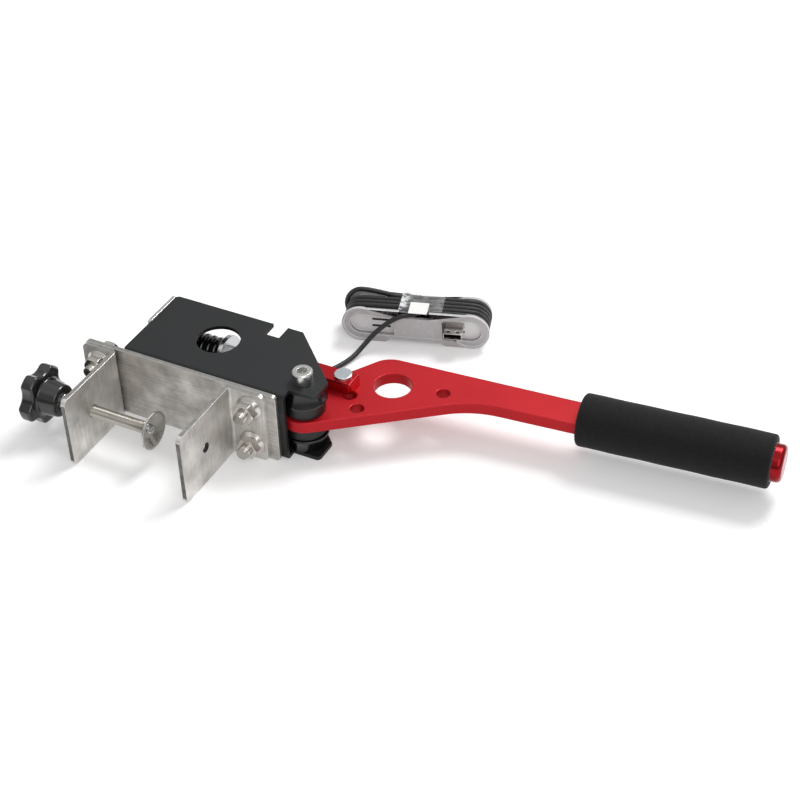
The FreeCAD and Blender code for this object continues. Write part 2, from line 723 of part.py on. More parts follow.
def make_back_plate():
    body = new_body("back_plate")
    face = sketch_on(body, "back_plate_outline", "XZ_Plane", web_outside)
    rectangle(face, -d.plate_left, 0, -d.plate_right, d.housing_height)
    pad(body, face, d.plate_thick)
    bolt_holes(body, "back_plate_bolts", d.plate_thick * 4, (d.bolt_left, d.bolt_right))
    round_edges(body, "back_plate_corners", d.plate_corner, crosswise_at(
        (-d.plate_left, 0), (-d.plate_left, d.housing_height),
        (-d.plate_right, 0), (-d.plate_right, d.housing_height)))
    return piece("back_plate", body)


def make_bracket(name, jaw_face, flange_end, side, hole, column):
    """L bracket: flange on the back plate and jaw towards -Y.
    side is the way from the inner face to the flange."""
    body = new_body(name)
    outer = jaw_face + d.bracket_thick * side
    plan = sketch_on(body, name + "_plan", "XY_Plane")
    outline(plan, (
        (jaw_face, -plate_front), (flange_end, -plate_front), (flange_end, -flange_front),
        (outer, -flange_front), (outer, -d.jaw_reach), (jaw_face, -d.jaw_reach),
    ))
    pad(body, plan, d.housing_height)
    round_edges(body, name + "_bend_outside", d.bracket_bend, upright_at((jaw_face, -plate_front)))
    round_edges(
        body, name + "_bend_inside", d.bracket_bend - d.bracket_thick, upright_at((outer, -flange_front)))
    jaw_middle = jaw_face + d.bracket_thick / 2 * side
    flange_middle = (plate_front + flange_front) / 2

    def corner(edge):
        spot = middle_of(edge)
        at_end = abs(spot.z - middle.value) > middle.value - NEAR
        jaw_tip = along(edge, Vector(1, 0, 0)) and abs(spot.y + d.jaw_reach.value) < NEAR
        jaw_tip = jaw_tip and abs(spot.x - jaw_middle.value) < NEAR
        flange_tip = along(edge, Vector(0, 1, 0)) and abs(spot.x - flange_end.value) < NEAR
        flange_tip = flange_tip and abs(spot.y + flange_middle.value) < NEAR
        return at_end and (jaw_tip or flange_tip)

    round_edges(body, name + "_corners", d.bracket_corner, corner)
    bolt_holes(body, name + "_bolts", (d.plate_thick + d.bracket_thick) * 4, (column,))
    bore = sketch_on(body, name + "_hole", "YZ_Plane", jaw_face)
    circle(bore, -d.clamp_axis, middle, hole)
    pocket(body, bore, d.bracket_thick * 4, both_ways=True)
    return piece(name, body)


def bolt_places():
    """The four mounting bolts, pointing towards -Y, from the inner face of the web."""
    for column in (d.bolt_left, d.bolt_right):
        for side in (-1, 1):
            yield -column, middle + d.bolt_spacing / 2 * side


def make_mounting_hardware():
    """Four hex bolts through web, back plate and brackets, and their flange nuts."""
    bolt = new_body("bolt")
    head = sketch_on(bolt, "bolt_head", "XY_Plane")
    outline(head, hex_points(d.hex_flats))
    pad(bolt, head, d.hex_head_high)
    turn_off_corners(bolt, "bolt", d.hex_flats, d.hex_head_high)
    grip = flange_front - d.web_inside
    shank = sketch_on(bolt, "bolt_shank", "XY_Plane")
    circle(shank, 0, 0, d.bolt_size)
    pad(bolt, shank, grip + d.flange_nut_high + d.bolt_stand_out, backwards=True)
    end_z = -(grip + d.flange_nut_high + d.bolt_stand_out)
    bevel_edges(bolt, "bolt_tip", d.thread_bevel, lambda edge: abs(middle_of(edge).z - end_z.value) < NEAR)
    to_far_side = Rotation(Vector(1, 0, 0), -90)
    group_of_copies("mounting_bolts", bolt, [
        Placement(Vector(x.value, -d.web_inside.value, z.value), to_far_side) for x, z in bolt_places()])
    nut = new_body("nut")
    hex_nut(nut, "nut", d.hex_flats, d.flange_nut_high, d.bolt_size + d.play * 2)
    rim = sketch_on(nut, "nut_rim", "XZ_Plane")
    bore = d.bolt_size / 2 + d.play
    outline(rim, (
        (bore, 0), (d.flange_nut_wide / 2, 0), (d.flange_nut_wide / 2, d.flange_nut_rim * 0.5),
        (d.hex_flats / 2, d.flange_nut_rim * 2), (bore, d.flange_nut_rim * 2),
    ))
    turned(nut, rim, "V_Axis")
    to_near_side = Rotation(Vector(1, 0, 0), 90)
    group_of_copies("flange_nuts", nut, [
        Placement(Vector(x.value, -flange_front.value, z.value), to_near_side) for x, z in bolt_places()])


def make_pivot():
    """Pivot bolt with its nut, and the collars and washers that keep the lever in the middle."""
    bolt = new_body("pivot_bolt")
    profile = sketch_on(bolt, "pivot_bolt_profile", "XZ_Plane")
    top = d.housing_height + d.cap_head_high
    outline(profile, (
        (0, 0), (d.bolt_size / 2 - d.thread_bevel, 0), (d.bolt_size / 2, d.thread_bevel),
        (d.bolt_size / 2, d.housing_height), (d.cap_head / 2, d.housing_height),
        (d.cap_head / 2, top - d.thread_bevel), (d.cap_head / 2 - d.thread_bevel, top), (0, top),
    ))
    turned(bolt, profile, "V_Axis")
    socket = sketch_on(bolt, "pivot_socket", "XY_Plane", top)
    outline(socket, hex_points(d.socket_flats))
    pocket(bolt, socket, d.socket_deep)
    piece("pivot_bolt", bolt)

    nut = new_body("pivot_nut")
    hex_nut(nut, "pivot_nut", d.hex_flats, d.nut_high, d.bolt_size + d.play * 2)
    place(nut, 0, 0, d.sheet_thick)
    piece("pivot_nut", nut)

    bore = d.bolt_size / 2 + d.play
    collar_low = d.housing_height - d.sheet_thick - d.collar_high
    washer_low = middle + d.lever_thick / 2 + d.face_gap
    collar("upper_collar", collar_low, collar_low + d.collar_high, bore, d.collar_wide / 2, collar_low)
    ring("upper_washer", washer_low, collar_low, bore, d.washer_wide / 2)
    ring(
        "lower_washer", d.housing_height - collar_low, d.housing_height - washer_low, bore,
        d.washer_wide / 2)
    lower_top = d.sheet_thick + d.collar_high
    lower = collar("lower_collar", d.sheet_thick, lower_top, bore, d.collar_wide / 2, lower_top)
    seat = sketch_on(lower, "nut_seat", "XY_Plane", d.sheet_thick)
    circle(seat, 0, 0, d.hex_flats * 2 / math.sqrt(3) + d.seat_gap * 2)
    pocket(lower, seat, d.nut_high + d.seat_gap, backwards=True)


def ring(name, low, high, bore, outside):
    """Plain ring round the pivot bolt."""
    body = new_body(name)
    profile = sketch_on(body, name + "_profile", "XZ_Plane")
    outline(profile, ((bore, low), (outside, low), (outside, high), (bore, high)))
    turned(body, profile, "V_Axis")
    return piece(name, body)


def collar(name, low, high, bore, outside, lever_side):
    """Ring whose edge towards the lever is well rounded."""
    body = ring(name, low, high, bore, outside)

    def towards_lever(edge):
        spot = middle_of(edge)
        wide = abs(edge.Curve.Radius - outside.value) < NEAR if hasattr(edge.Curve, "Radius") else False
        return wide and abs(spot.z - lever_side.value) < NEAR

    round_edges(body, name + "_round", d.collar_round, towards_lever)
    return body


def grip_point(along_grip, across):
    """Place in the plan, measured along the grip's axis from its start and across it."""
    x = d.grip_x + along_grip * cosine(d.grip_angle) - across * sine(d.grip_angle)
    y = d.grip_y + along_grip * sine(d.grip_angle) + across * cosine(d.grip_angle)
    return x, y


def make_lever():
    """Flat lever: pivot end, heel with the clevis holes, shoulder, straight bar and a tongue
    for the grip."""
    body = new_body("lever")
    half = d.bar_wide / 2
    flank_x = d.pivot_end * sine(d.flank_angle)
    flank_y = -d.pivot_end * cosine(d.flank_angle)
    near_x, near_y = grip_point(as_size(0), -half)
    turn = sine(d.grip_angle - d.flank_angle)
    run = ((near_x - flank_x) * sine(d.grip_angle) - (near_y - flank_y) * cosine(d.grip_angle)) / turn
    bend_x = flank_x + run * cosine(d.flank_angle)
    bend_y = flank_y + run * sine(d.flank_angle)
    plan = sketch_on(body, "lever_plan", "XY_Plane", middle)
    outline(plan, (
        (-d.pivot_end, 0),
        (-d.heel_x, d.heel_y),
        (d.dip_x, d.dip_y),
        (d.shoulder_x, d.shoulder_y),
        grip_point(d.bar_in_grip, half),
        grip_point(d.bar_in_grip, -half),
        (bend_x, bend_y),
        (flank_x, flank_y),
    ))
    pad(body, plan, d.lever_thick, both_ways=True)
    disc = sketch_on(body, "lever_pivot_end", "XY_Plane", middle)
    circle(disc, 0, 0, d.pivot_end * 2)
    pad(body, disc, d.lever_thick, both_ways=True)
    round_edges(body, "lever_dip", d.dip_round, upright_at((d.dip_x, d.dip_y)))
    round_edges(body, "lever_shoulder", d.shoulder_round, upright_at((d.shoulder_x, d.shoulder_y)))
    round_edges(body, "lever_bend", d.flank_round, upright_at((bend_x, bend_y)))
    round_edges(body, "lever_heel", d.heel_round, upright_at((-d.heel_x, d.heel_y)))
    tongue = sketch_on(body, "lever_tongue", "XY_Plane", middle)
    start = d.bar_in_grip - OVERRUN
    end = d.bar_in_grip + d.tongue_long
    outline(tongue, (
        grip_point(start, -d.tongue_wide / 2), grip_point(end, -d.tongue_wide / 2),
        grip_point(end, d.tongue_wide / 2), grip_point(start, d.tongue_wide / 2),
    ))
    pad(body, tongue, d.lever_thick, both_ways=True)
    holes = sketch_on(body, "lever_holes", "XY_Plane", middle)
    circle(holes, 0, 0, d.bush_outside)
    circle(holes, d.big_hole_x, d.big_hole_y, d.big_hole)
    for x, y in spare_holes():
        circle(holes, x, y, d.small_hole)
    circle(holes, d.pin_x, d.pin_y, d.pin_size + d.play * 2)
    pin_x, pin_y = cross_pin_place()
    circle(holes, pin_x, pin_y, d.cross_pin)
    pocket(body, holes, d.lever_thick * 3, both_ways=True)
    magnet_seat = sketch_on(body, "magnet_seat", "YZ_Plane", -d.pivot_end + d.magnet_sink + d.magnet_thick)
    circle(magnet_seat, 0, middle, d.magnet_wide)
    pocket(body, magnet_seat, d.pivot_end)
    faces = (middle.value + d.lever_thick.value / 2, middle.value - d.lever_thick.value / 2)
    bar_end = d.grip_x.value

    def broken(edge):
        spot = middle_of(edge)
        flat = any(abs(spot.z - face) < 1e-6 for face in faces)
        return flat and not along(edge, Vector(0, 0, 1)) and spot.x < bar_end

    bevel_edges(body, "lever_edges", d.edge_break, broken)
    return piece("lever", body)


def spare_holes():
    """The three small holes of the lever."""
    return (d.bar_hole_x, d.bar_hole_y), (d.near_hole_x, d.near_hole_y), (d.mid_hole_x, d.mid_hole_y)


def cross_pin_place():
    return grip_point(d.bar_in_grip + d.tongue_long / 2, as_size(0))


def make_bush():
    """Bush pressed into the lever, which turns on the pivot bolt."""
    half = d.lever_thick / 2
    ring("pivot_bush", middle - half, middle + half, d.bolt_size / 2 + d.play, d.bush_outside / 2)


def grip_frame(body, along_grip):
    """Turns a piece that was made about the X axis onto the grip's axis."""
    x, y = grip_point(along_grip, as_size(0))
    place(body, x, y, middle, Rotation(Vector(0, 0, 1), d.grip_angle.value))


def make_grip():
    """Tube on the lever's tongue, held by a cross pin, with the foam over it and the cap in its end."""
    tube = new_body("grip_tube")
    length = d.foam_long - d.bar_in_grip
    profile = sketch_on(tube, "grip_tube_profile", "XY_Plane")
    outline(profile, (
        (0, d.tube_bore / 2), (length, d.tube_bore / 2),
        (length, d.tube_outside / 2), (0, d.tube_outside / 2),
    ))
    turned(tube, profile, "H_Axis")
    pin_hole = sketch_on(tube, "grip_tube_pin", "XY_Plane")
    circle(pin_hole, d.tongue_long / 2, 0, d.cross_pin)
    pocket(tube, pin_hole, d.tube_outside * 2, both_ways=True)
    grip_frame(tube, d.bar_in_grip)
    piece("grip_tube", tube)

    pin = doc.addObject("Part::Cylinder", "handle_pin")
    bind(pin, "Radius", d.cross_pin / 2)
    bind(pin, "Height", d.tube_outside - d.cross_pin_sink * 2)
    x, y = cross_pin_place()
    place(pin, x, y, middle - d.tube_outside / 2 + d.cross_pin_sink)
    piece("handle_pin", pin)

    foam = new_body("foam_grip")
    sleeve = sketch_on(foam, "foam_profile", "XY_Plane")
    inside = d.tube_outside / 2 + d.play
    outline(sleeve, (
        (0, inside), (d.foam_long, inside), (d.foam_long, d.foam_outside / 2), (0, d.foam_outside / 2),
    ))
    turned(foam, sleeve, "H_Axis")

    def outer_end(edge):
        return hasattr(edge.Curve, "Radius") and abs(edge.Curve.Radius - d.foam_outside.value / 2) < NEAR

    round_edges(foam, "foam_ends", d.foam_round, outer_end)
    grip_frame(foam, as_size(0))
    piece("foam_grip", foam)

    cap = new_body("end_cap")
    button = sketch_on(cap, "cap_profile", "XY_Plane")
    stem = d.tube_bore / 2 - d.play
    outline(button, (
        (-d.cap_stem, 0), (d.cap_stand_out, 0), (d.cap_stand_out, d.cap_wide / 2),
        (0, d.cap_wide / 2), (0, stem), (-d.cap_stem, stem),
    ))
    turned(cap, button, "H_Axis")

    def rim(edge):
        wide = hasattr(edge.Curve, "Radius") and abs(edge.Curve.Radius - d.cap_wide.value / 2) < NEAR
        return wide and abs(middle_of(edge).x - d.cap_stand_out.value) < NEAR

    round_edges(cap, "cap_rim", d.cap_round, rim)
    grip_frame(cap, d.foam_long)
    piece("end_cap", cap)


def make_clevis():
    """Fork round the lever with its pin and clip, and the rod through the spring to the end plate."""
    body = new_body("clevis")
    left = -d.slot_end - d.shank_long
    plan = sketch_on(body, "clevis_plan", "XY_Plane", middle)
    half = d.clevis_wide / 2
    rectangle(plan, left, d.pin_y - half, d.clevis_tip, d.pin_y + half)
    pad(body, plan, d.clevis_high, both_ways=True)
    fork = sketch_on(body, "clevis_fork", "XY_Plane", middle)
    rectangle(fork, -d.slot_end, d.pin_y - d.clevis_wide, d.clevis_tip + OVERRUN, d.pin_y + d.clevis_wide)
    pocket(body, fork, d.lever_thick + d.seat_gap * 2, both_ways=True)
    pin_bore = sketch_on(body, "clevis_pin_bore", "XY_Plane", middle)
    circle(pin_bore, d.pin_x, d.pin_y, d.pin_size)
    pocket(body, pin_bore, d.clevis_high * 2, both_ways=True)
    thread = sketch_on(body, "clevis_thread", "YZ_Plane", left)
    circle(thread, d.pin_y, middle, d.bolt_size)
    pocket(body, thread, d.shank_long * 2, backwards=True)
    top = middle + d.clevis_high / 2
    bottom = middle - d.clevis_high / 2

    def arm_edge(edge):
        spot = middle_of(edge)
        outer = min(abs(spot.z - top.value), abs(spot.z - bottom.value)) < 1e-6
        return outer and edge.Curve.TypeId == "Part::GeomLine"

    bevel_edges(body, "clevis_edges", d.clevis_bevel, arm_edge)
    bevel_edges(body, "clevis_tips", d.clevis_tip_bevel, upright_at(
        (d.clevis_tip, d.pin_y - half), (d.clevis_tip, d.pin_y + half)))
    piece("clevis", body)

    pin = new_body("clevis_pin")
    profile = sketch_on(pin, "pin_profile", "XZ_Plane")
    radius = d.pin_size / 2
    clip_high = bottom - d.face_gap
    clip_low = clip_high - d.clip_thick
    tip = clip_low - d.pin_tip
    outline(profile, (
        (0, tip), (radius - d.pin_tip_bevel, tip), (radius, tip + d.pin_tip_bevel), (radius, clip_low),
        (radius - d.clip_groove, clip_low), (radius - d.clip_groove, clip_high), (radius, clip_high),
        (radius, top), (d.pin_head / 2, top), (d.pin_head / 2, top + d.pin_head_high - d.pin_head_bevel),
        (d.pin_head / 2 - d.pin_head_bevel, top + d.pin_head_high), (0, top + d.pin_head_high),
    ))
    turned(pin, profile, "V_Axis")
    place(pin, d.pin_x, d.pin_y, 0)
    piece("clevis_pin", pin)

    clip = new_body("clevis_clip")
    face = sketch_on(clip, "clip_face", "XY_Plane", clip_low)
    circle(face, 0, 0, d.clip_wide)
    pad(clip, face, d.clip_thick)
    groove = d.pin_size - d.clip_groove * 2
    gap = sketch_on(clip, "clip_gap", "XY_Plane", clip_low)
    rectangle(gap, 0, -groove * 0.42, d.clip_wide, groove * 0.42)
    pocket(clip, gap, d.clip_thick * 3, both_ways=True)
    hole = sketch_on(clip, "clip_hole", "XY_Plane", clip_low)
    circle(hole, 0, 0, groove)
    pocket(clip, hole, d.clip_thick * 3, both_ways=True)
    place(clip, d.pin_x, d.pin_y, 0)
    piece("clevis_clip", clip)


def rod_ring(name, left, length, bore, outside):
    """Ring on the push rod, from left to left plus length."""
    body = new_body(name)
    profile = sketch_on(body, name + "_profile", "XY_Plane")
    outline(profile, ((left, bore), (left + length, bore), (left + length, outside), (left, outside)))
    turned(body, profile, "H_Axis")
    place(body, 0, d.pin_y, middle)
    return piece(name, body)


def rod_nut(name, left):
    """Plain nut on the push rod, its flats up and down."""
    body = new_body(name)
    hex_nut(body, name, d.hex_flats, d.nut_high, d.bolt_size)
    turn = Rotation(Vector(0, 1, 0), 90)
    place(body, left, d.pin_y, middle, turn)
    return body


def make_rod():
    left = -d.slot_end - d.shank_long
    rod = doc.addObject("Part::Cylinder", "push_rod")
    bind(rod, "Radius", d.bolt_size / 2)
    bind(rod, "Height", d.rod_end - d.slot_end - d.rod_short)
    place(rod, -d.rod_end, d.pin_y, middle, Rotation(Vector(0, 1, 0), 90))
    piece("push_rod", rod)
    piece("clevis_jam_nut", rod_nut("clevis_jam_nut", left - d.nut_high))
    rod_ring("spring_seat", -d.seat_face, d.seat_thick, d.bolt_size / 2, d.seat_wide / 2)
    seat_nut = new_body("seat_nut")
    hex_nut(seat_nut, "seat_nut", d.hex_flats, d.nut_high, d.bolt_size)
    face = -d.seat_face + d.seat_thick
    turn = Rotation(Vector(0, 1, 0), 90)
    group_of_copies("seat_nuts", seat_nut, [
        Placement(Vector((face + d.nut_high * step).value, d.pin_y.value, middle.value), turn)
        for step in (0, 1)])
    outside = -(d.housing_left + d.end_plate_thick + d.seat_gap)
    piece("rod_stop_nut", rod_nut("rod_stop_nut", outside - d.nut_high))


def make_lever_magnet():
    """Disc magnet sunk in the lever's edge, opposite the sensor."""
    magnet = doc.addObject("Part::Cylinder", "lever_magnet")
    bind(magnet, "Radius", d.magnet_wide / 2)
    bind(magnet, "Height", d.magnet_thick)
    place(magnet, -d.pivot_end + d.magnet_sink, 0, middle, Rotation(Vector(0, 1, 0), 90))
    piece("lever_magnet", magnet)


def arc_or_line(start, corner, end):
    """The arc that touches both legs of an even-sided corner, or a line where the corner is flat."""
    leg = (corner - start).Length
    half_chord = (end - start).Length / 2
    if leg - half_chord < leg * 1e-7:
        return Part.LineSegment(start, end).toShape()
    middle_of_chord = (start + end) / 2
    rise = corner - middle_of_chord
    half_turn = math.acos(half_chord / leg)
    radius = leg / math.tan(half_turn)
    crest = middle_of_chord + rise / rise.Length * radius * (1 - math.cos(half_turn))
    return Part.Arc(start, crest, end).toShape()


def biarc(start, start_way, end, end_way):
    """Two arcs that leave start and reach end in the given directions and meet smoothly."""
    chord = end - start
    along_chord = chord.dot(start_way + end_way)
    turn = 2 * (1 - start_way.dot(end_way))
    if turn < 1e-9:
        leg = chord.dot(chord) / (2 * along_chord)
    else:
        leg = (math.sqrt(along_chord * along_chord + turn * chord.dot(chord)) - along_chord) / turn
    first = start + start_way * leg
    second = end - end_way * leg
    meeting = (first + second) / 2
    return [arc_or_line(start, first, meeting), arc_or_line(meeting, second, end)]


def half_circle(start, crest, end):
    return [Part.Arc(start, crest, end).toShape()]


def straight(start, end):
    return [Part.LineSegment(start, end).toShape()]


def rounded_route(name, points):
    """Straight runs through hand-chosen points, with an arc in every corner. Prints the radii."""
    edges = []
    radii = []
    start = points[0]
    for before, corner, after in zip(points, points[1:], points[2:]):
        arriving = (corner - before).normalize()
        leaving = (after - corner).normalize()
        trim = 0.45 * min((corner - before).Length, (after - corner).Length)
        arc_start = corner - arriving * trim
        arc_end = corner + leaving * trim
        radii.append(trim / math.tan(arriving.getAngle(leaving) / 2))
        edges += straight(start, arc_start) + [arc_or_line(arc_start, corner, arc_end)]
        start = arc_end
    edges += straight(start, points[-1])
    print(name, "radii", " ".join("%.1f" % radius for radius in radii))
    return edges


def tube_along(name, edges, diameter):
    """Round tube along smooth edges.
    Prints its length and how its volume compares with section times length."""
    wire = Part.Wire(edges)
    first = edges[0]
    at_start = first.FirstParameter
    ring_edge = Part.makeCircle(diameter / 2, first.valueAt(at_start), first.tangentAt(at_start))
    solid = wire.makePipeShell([Part.Wire([ring_edge])], True, False)
    expected = math.pi * diameter * diameter / 4 * wire.Length
    print(name, "length %.1f" % wire.Length, "volume ratio %.4f" % (solid.Volume / expected))
    return solid, wire


def least_gap(name, wire, diameter):
    """Prints the smallest gap between the surfaces of neighbouring turns."""
    spacing = 1.2
    points = wire.discretize(Distance=spacing)
    skip = int(diameter * 3 / spacing)
    least = min(
        (points[low] - points[high]).Length
        for low in range(len(points)) for high in range(low + skip, len(points)))
    print(name, "least gap %.2f" % (least - diameter))


def make_return_spring():
    """Open-ended coil round the push rod, between end plate and spring seat."""
    wire_size = d.spring_wire.value
    radius = (d.spring_outside.value - wire_size) / 2
    left = -d.housing_left.value + d.face_gap.value + wire_size / 2
    right = -d.seat_face.value - d.face_gap.value - wire_size / 2
    turns = d.spring_turns.value
    end_pitch = wire_size + d.spring_end_gap.value
    pitch = (right - left - end_pitch * 2) / (turns - 2)
    steps = int(round(turns * 2))
    centre_y, centre_z = d.pin_y.value, middle.value

    def reach(turn):
        """Distance from the coil's left end after so many turns, the end turns being closer."""
        near_left = min(turn, 1.0) * end_pitch
        between = max(min(turn, turns - 1) - 1, 0.0) * pitch
        near_right = max(turn - (turns - 1), 0.0) * end_pitch
        return near_left + between + near_right

    def spot(step):
        angle = math.radians(180 * step)
        return Vector(
            left + reach(step / 2), centre_y + radius * math.cos(angle),
            centre_z + radius * math.sin(angle))

    def way(step):
        angle = math.radians(180 * step)
        rise = (reach((step + 1) / 2) - reach((step - 1) / 2)) / math.radians(360)
        return Vector(rise, -radius * math.sin(angle), radius * math.cos(angle)).normalize()

    edges = []
    for step in range(steps):
        edges += biarc(spot(step), way(step), spot(step + 1), way(step + 1))
    solid, wire = tube_along("return_spring", edges, wire_size)
    least_gap("return_spring", wire, wire_size)
    spring = doc.addObject("Part::Feature", "return_spring")
    spring.Shape = solid
    piece("return_spring", spring)


def make_sensor():
    """Sensor case on the web with its nose towards the lever's magnet, board, lid and cable gland."""
    make_sensor_case()
    make_sensor_lid()
    board = doc.addObject("Part::Box", "circuit_board")
    high = case_high - d.case_wall * 2 - d.seat_gap * 2
    bind(board, "Length", d.board_wide)
    bind(board, "Width", d.board_thick)
    bind(board, "Height", high)
    place(
        board, -d.case_left + (d.case_long - d.board_wide) / 2, -d.web_inside + d.board_depth,
        middle - high / 2)
    piece("circuit_board", board)
    gland = new_body("cable_gland")
    profile = sketch_on(gland, "gland_profile", "XZ_Plane")
    wide, neck, tip = d.gland_wide / 2, d.gland_neck / 2, d.gland_tip / 2
    outline(profile, (
        (0, 0), (wide, 0), (wide, d.gland_collar), (neck, d.gland_collar + wide - neck),
        (tip, d.gland_long), (0, d.gland_long),
    ))
    turned(gland, profile, "V_Axis")
    place(gland, -d.gland_x, lid_front(), middle - d.gland_drop, Rotation(Vector(1, 0, 0), -90))
    piece("cable_gland", gland)


def case_outline(sketch, inset):
    """The case's rectangle in the XZ plane, drawn in by the inset."""
    inset = as_size(inset)
    rectangle(
        sketch, -d.case_left + inset, middle - case_high / 2 + inset,
        -d.case_left + d.case_long - inset, middle + case_high / 2 - inset)


def case_corners():
    for x in (-d.case_left, -d.case_left + d.case_long):
        for side in (-1, 1):
            yield x, middle + case_high / 2 * side


def make_sensor_case():
    body = new_body("sensor_case")
    box = sketch_on(body, "case_box", "XZ_Plane", d.web_inside)
    case_outline(box, 0)
    pad(body, box, d.case_deep, backwards=True)
    round_edges(body, "case_corners", d.case_round, crosswise_at(*case_corners()))
    hollow = sketch_on(body, "case_hollow", "XZ_Plane", d.web_inside - d.case_wall)
    case_outline(hollow, d.case_wall)
    pocket(body, hollow, d.case_deep)
    posts = sketch_on(body, "case_posts", "XZ_Plane", d.web_inside - d.case_wall / 2)
    for x, z in lid_screw_places():
        circle(posts, x, z, d.post_wide)
    pad(body, posts, d.case_deep - d.case_wall / 2, backwards=True)
    ribs = sketch_on(body, "case_ribs", "XZ_Plane", d.web_inside - d.case_wall / 2)
    centre = -d.case_left + d.case_long / 2
    for side in (-1, 1):
        rib = centre + d.rib_apart / 2 * side
        rectangle(ribs, rib - d.rib_thick / 2, middle - case_high / 2 + d.case_wall / 2,
                  rib + d.rib_thick / 2, middle + case_high / 2 - d.case_wall / 2)
    pad(body, ribs, d.board_depth - d.case_wall / 2, backwards=True)
    nose = sketch_on(body, "case_nose", "XZ_Plane", d.web_inside)
    rectangle(nose, -d.case_left + d.case_long - d.case_wall / 2, middle - d.nose_high / 2,
              -d.pivot_end - d.nose_gap, middle + d.nose_high / 2)
    pad(body, nose, d.case_deep, backwards=True)
    ears = sketch_on(body, "case_ears", "XZ_Plane", d.web_inside)
    low = middle - case_high / 2 - d.case_ear
    high = middle + case_high / 2 + d.case_ear
    rectangle(ears, centre - d.case_ear_wide / 2, low, centre + d.case_ear_wide / 2, high)
    pad(body, ears, d.case_wall, backwards=True)
    ear_holes = sketch_on(body, "ear_holes", "XZ_Plane", d.web_inside)
    for x, z in case_screw_places():
        circle(ear_holes, x, z, d.small_screw)
    pocket(body, ear_holes, d.case_wall * 3, both_ways=True)
    post_holes = sketch_on(body, "post_holes", "XZ_Plane", d.web_inside - d.case_deep)
    for x, z in lid_screw_places():
        circle(post_holes, x, z, d.lid_screw)
    pocket(body, post_holes, d.small_screw_long, backwards=True)
    return piece("sensor_case", body)


def make_sensor_lid():
    body = new_body("sensor_lid")
    plate = sketch_on(body, "lid_plate", "XZ_Plane", d.web_inside - d.case_deep)
    case_outline(plate, 0)
    pad(body, plate, d.lid_thick, backwards=True)
    round_edges(body, "lid_corners", d.case_round, crosswise_at(*case_corners()))
    holes = sketch_on(body, "lid_holes", "XZ_Plane", d.web_inside - d.case_deep)
    for x, z in lid_screw_places():
        circle(holes, x, z, d.lid_screw)
    pocket(body, holes, d.lid_thick * 3, both_ways=True)
    return piece("sensor_lid", body)


def on_clamp_axis(thing):
    """Puts a piece that was turned about the X axis onto the clamp screw's axis."""
    place(thing, 0, -d.clamp_axis, middle)


def make_clamp():
    """Threaded rod with its nut on the jaw, and the dished pad that turns on a screw in the rod's end."""
    rear = -(d.pad_face + d.pad_dish + d.pad_skin)
    rod_end = rear - d.face_gap
    rod_start = -(d.knob_left - d.knob_long + d.rod_in_knob)
    rod = new_body("clamp_screw")
    profile = sketch_on(rod, "clamp_rod_profile", "XY_Plane")
    radius = d.bolt_size / 2
    tapped = d.pad_screw / 2
    outline(profile, (
        (rod_start, 0), (rod_end - d.pad_screw_long, 0),
        (rod_end - d.pad_screw_long, tapped), (rod_end, tapped),
        (rod_end, radius - d.thread_bevel), (rod_end - d.thread_bevel, radius), (rod_start, radius),
    ))
    turned(rod, profile, "H_Axis")
    on_clamp_axis(rod)
    piece("clamp_screw", rod)

    nut = new_body("jaw_nut")
    hex_nut(nut, "jaw_nut", d.hex_flats, d.nut_high, d.bolt_size + d.play * 2)
    jaw_back = -(d.screw_jaw_face + d.bracket_thick)
    place(nut, jaw_back, -d.clamp_axis, middle, Rotation(Vector(0, 1, 0), -90))
    piece("jaw_nut", nut)

    pad_body = new_body("clamp_pad")
    dish = sketch_on(pad_body, "pad_profile", "XY_Plane")
    bore = d.pad_screw / 2 + d.play
    hub = d.pad_hub / 2
    rim = d.pad_wide / 2
    floor = rear + d.pad_skin
    outline(dish, (
        (rear, bore), (rear, hub), (-d.pad_face - d.pad_skin, rim), (-d.pad_face, rim),
        (-d.pad_face, rim - d.pad_skin / 2), (floor, hub - d.pad_skin / 4), (floor, bore),
    ))
    turned(pad_body, dish, "H_Axis")
    on_clamp_axis(pad_body)
    piece("clamp_pad", pad_body)

    head_seat = floor + d.face_gap
    screw = new_body("pad_screw")
    turned_profile = sketch_on(screw, "pad_screw_profile", "XY_Plane")
    head = d.pad_screw_head / 2
    outline(turned_profile, (
        (rod_end - d.pad_screw_long, 0), (head_seat + d.pad_screw_high, 0),
        (head_seat + d.pad_screw_high, head * PAN_TOP * 2), (head_seat + d.pad_screw_high * PAN_RIM, head),
        (head_seat, head), (head_seat, tapped), (rod_end - d.pad_screw_long, tapped),
    ))
    turned(screw, turned_profile, "H_Axis")
    recess = sketch_on(screw, "pad_screw_recess", "YZ_Plane", head_seat + d.pad_screw_high)
    reach, half = head * RECESS_REACH * 2, head * RECESS_HALF_WIDE * 2
    rectangle(recess, -reach, -half, reach, half)
    pocket(screw, recess, d.pad_screw_high * RECESS_DEPTH)
    on_clamp_axis(screw)
    piece("pad_screw", screw)


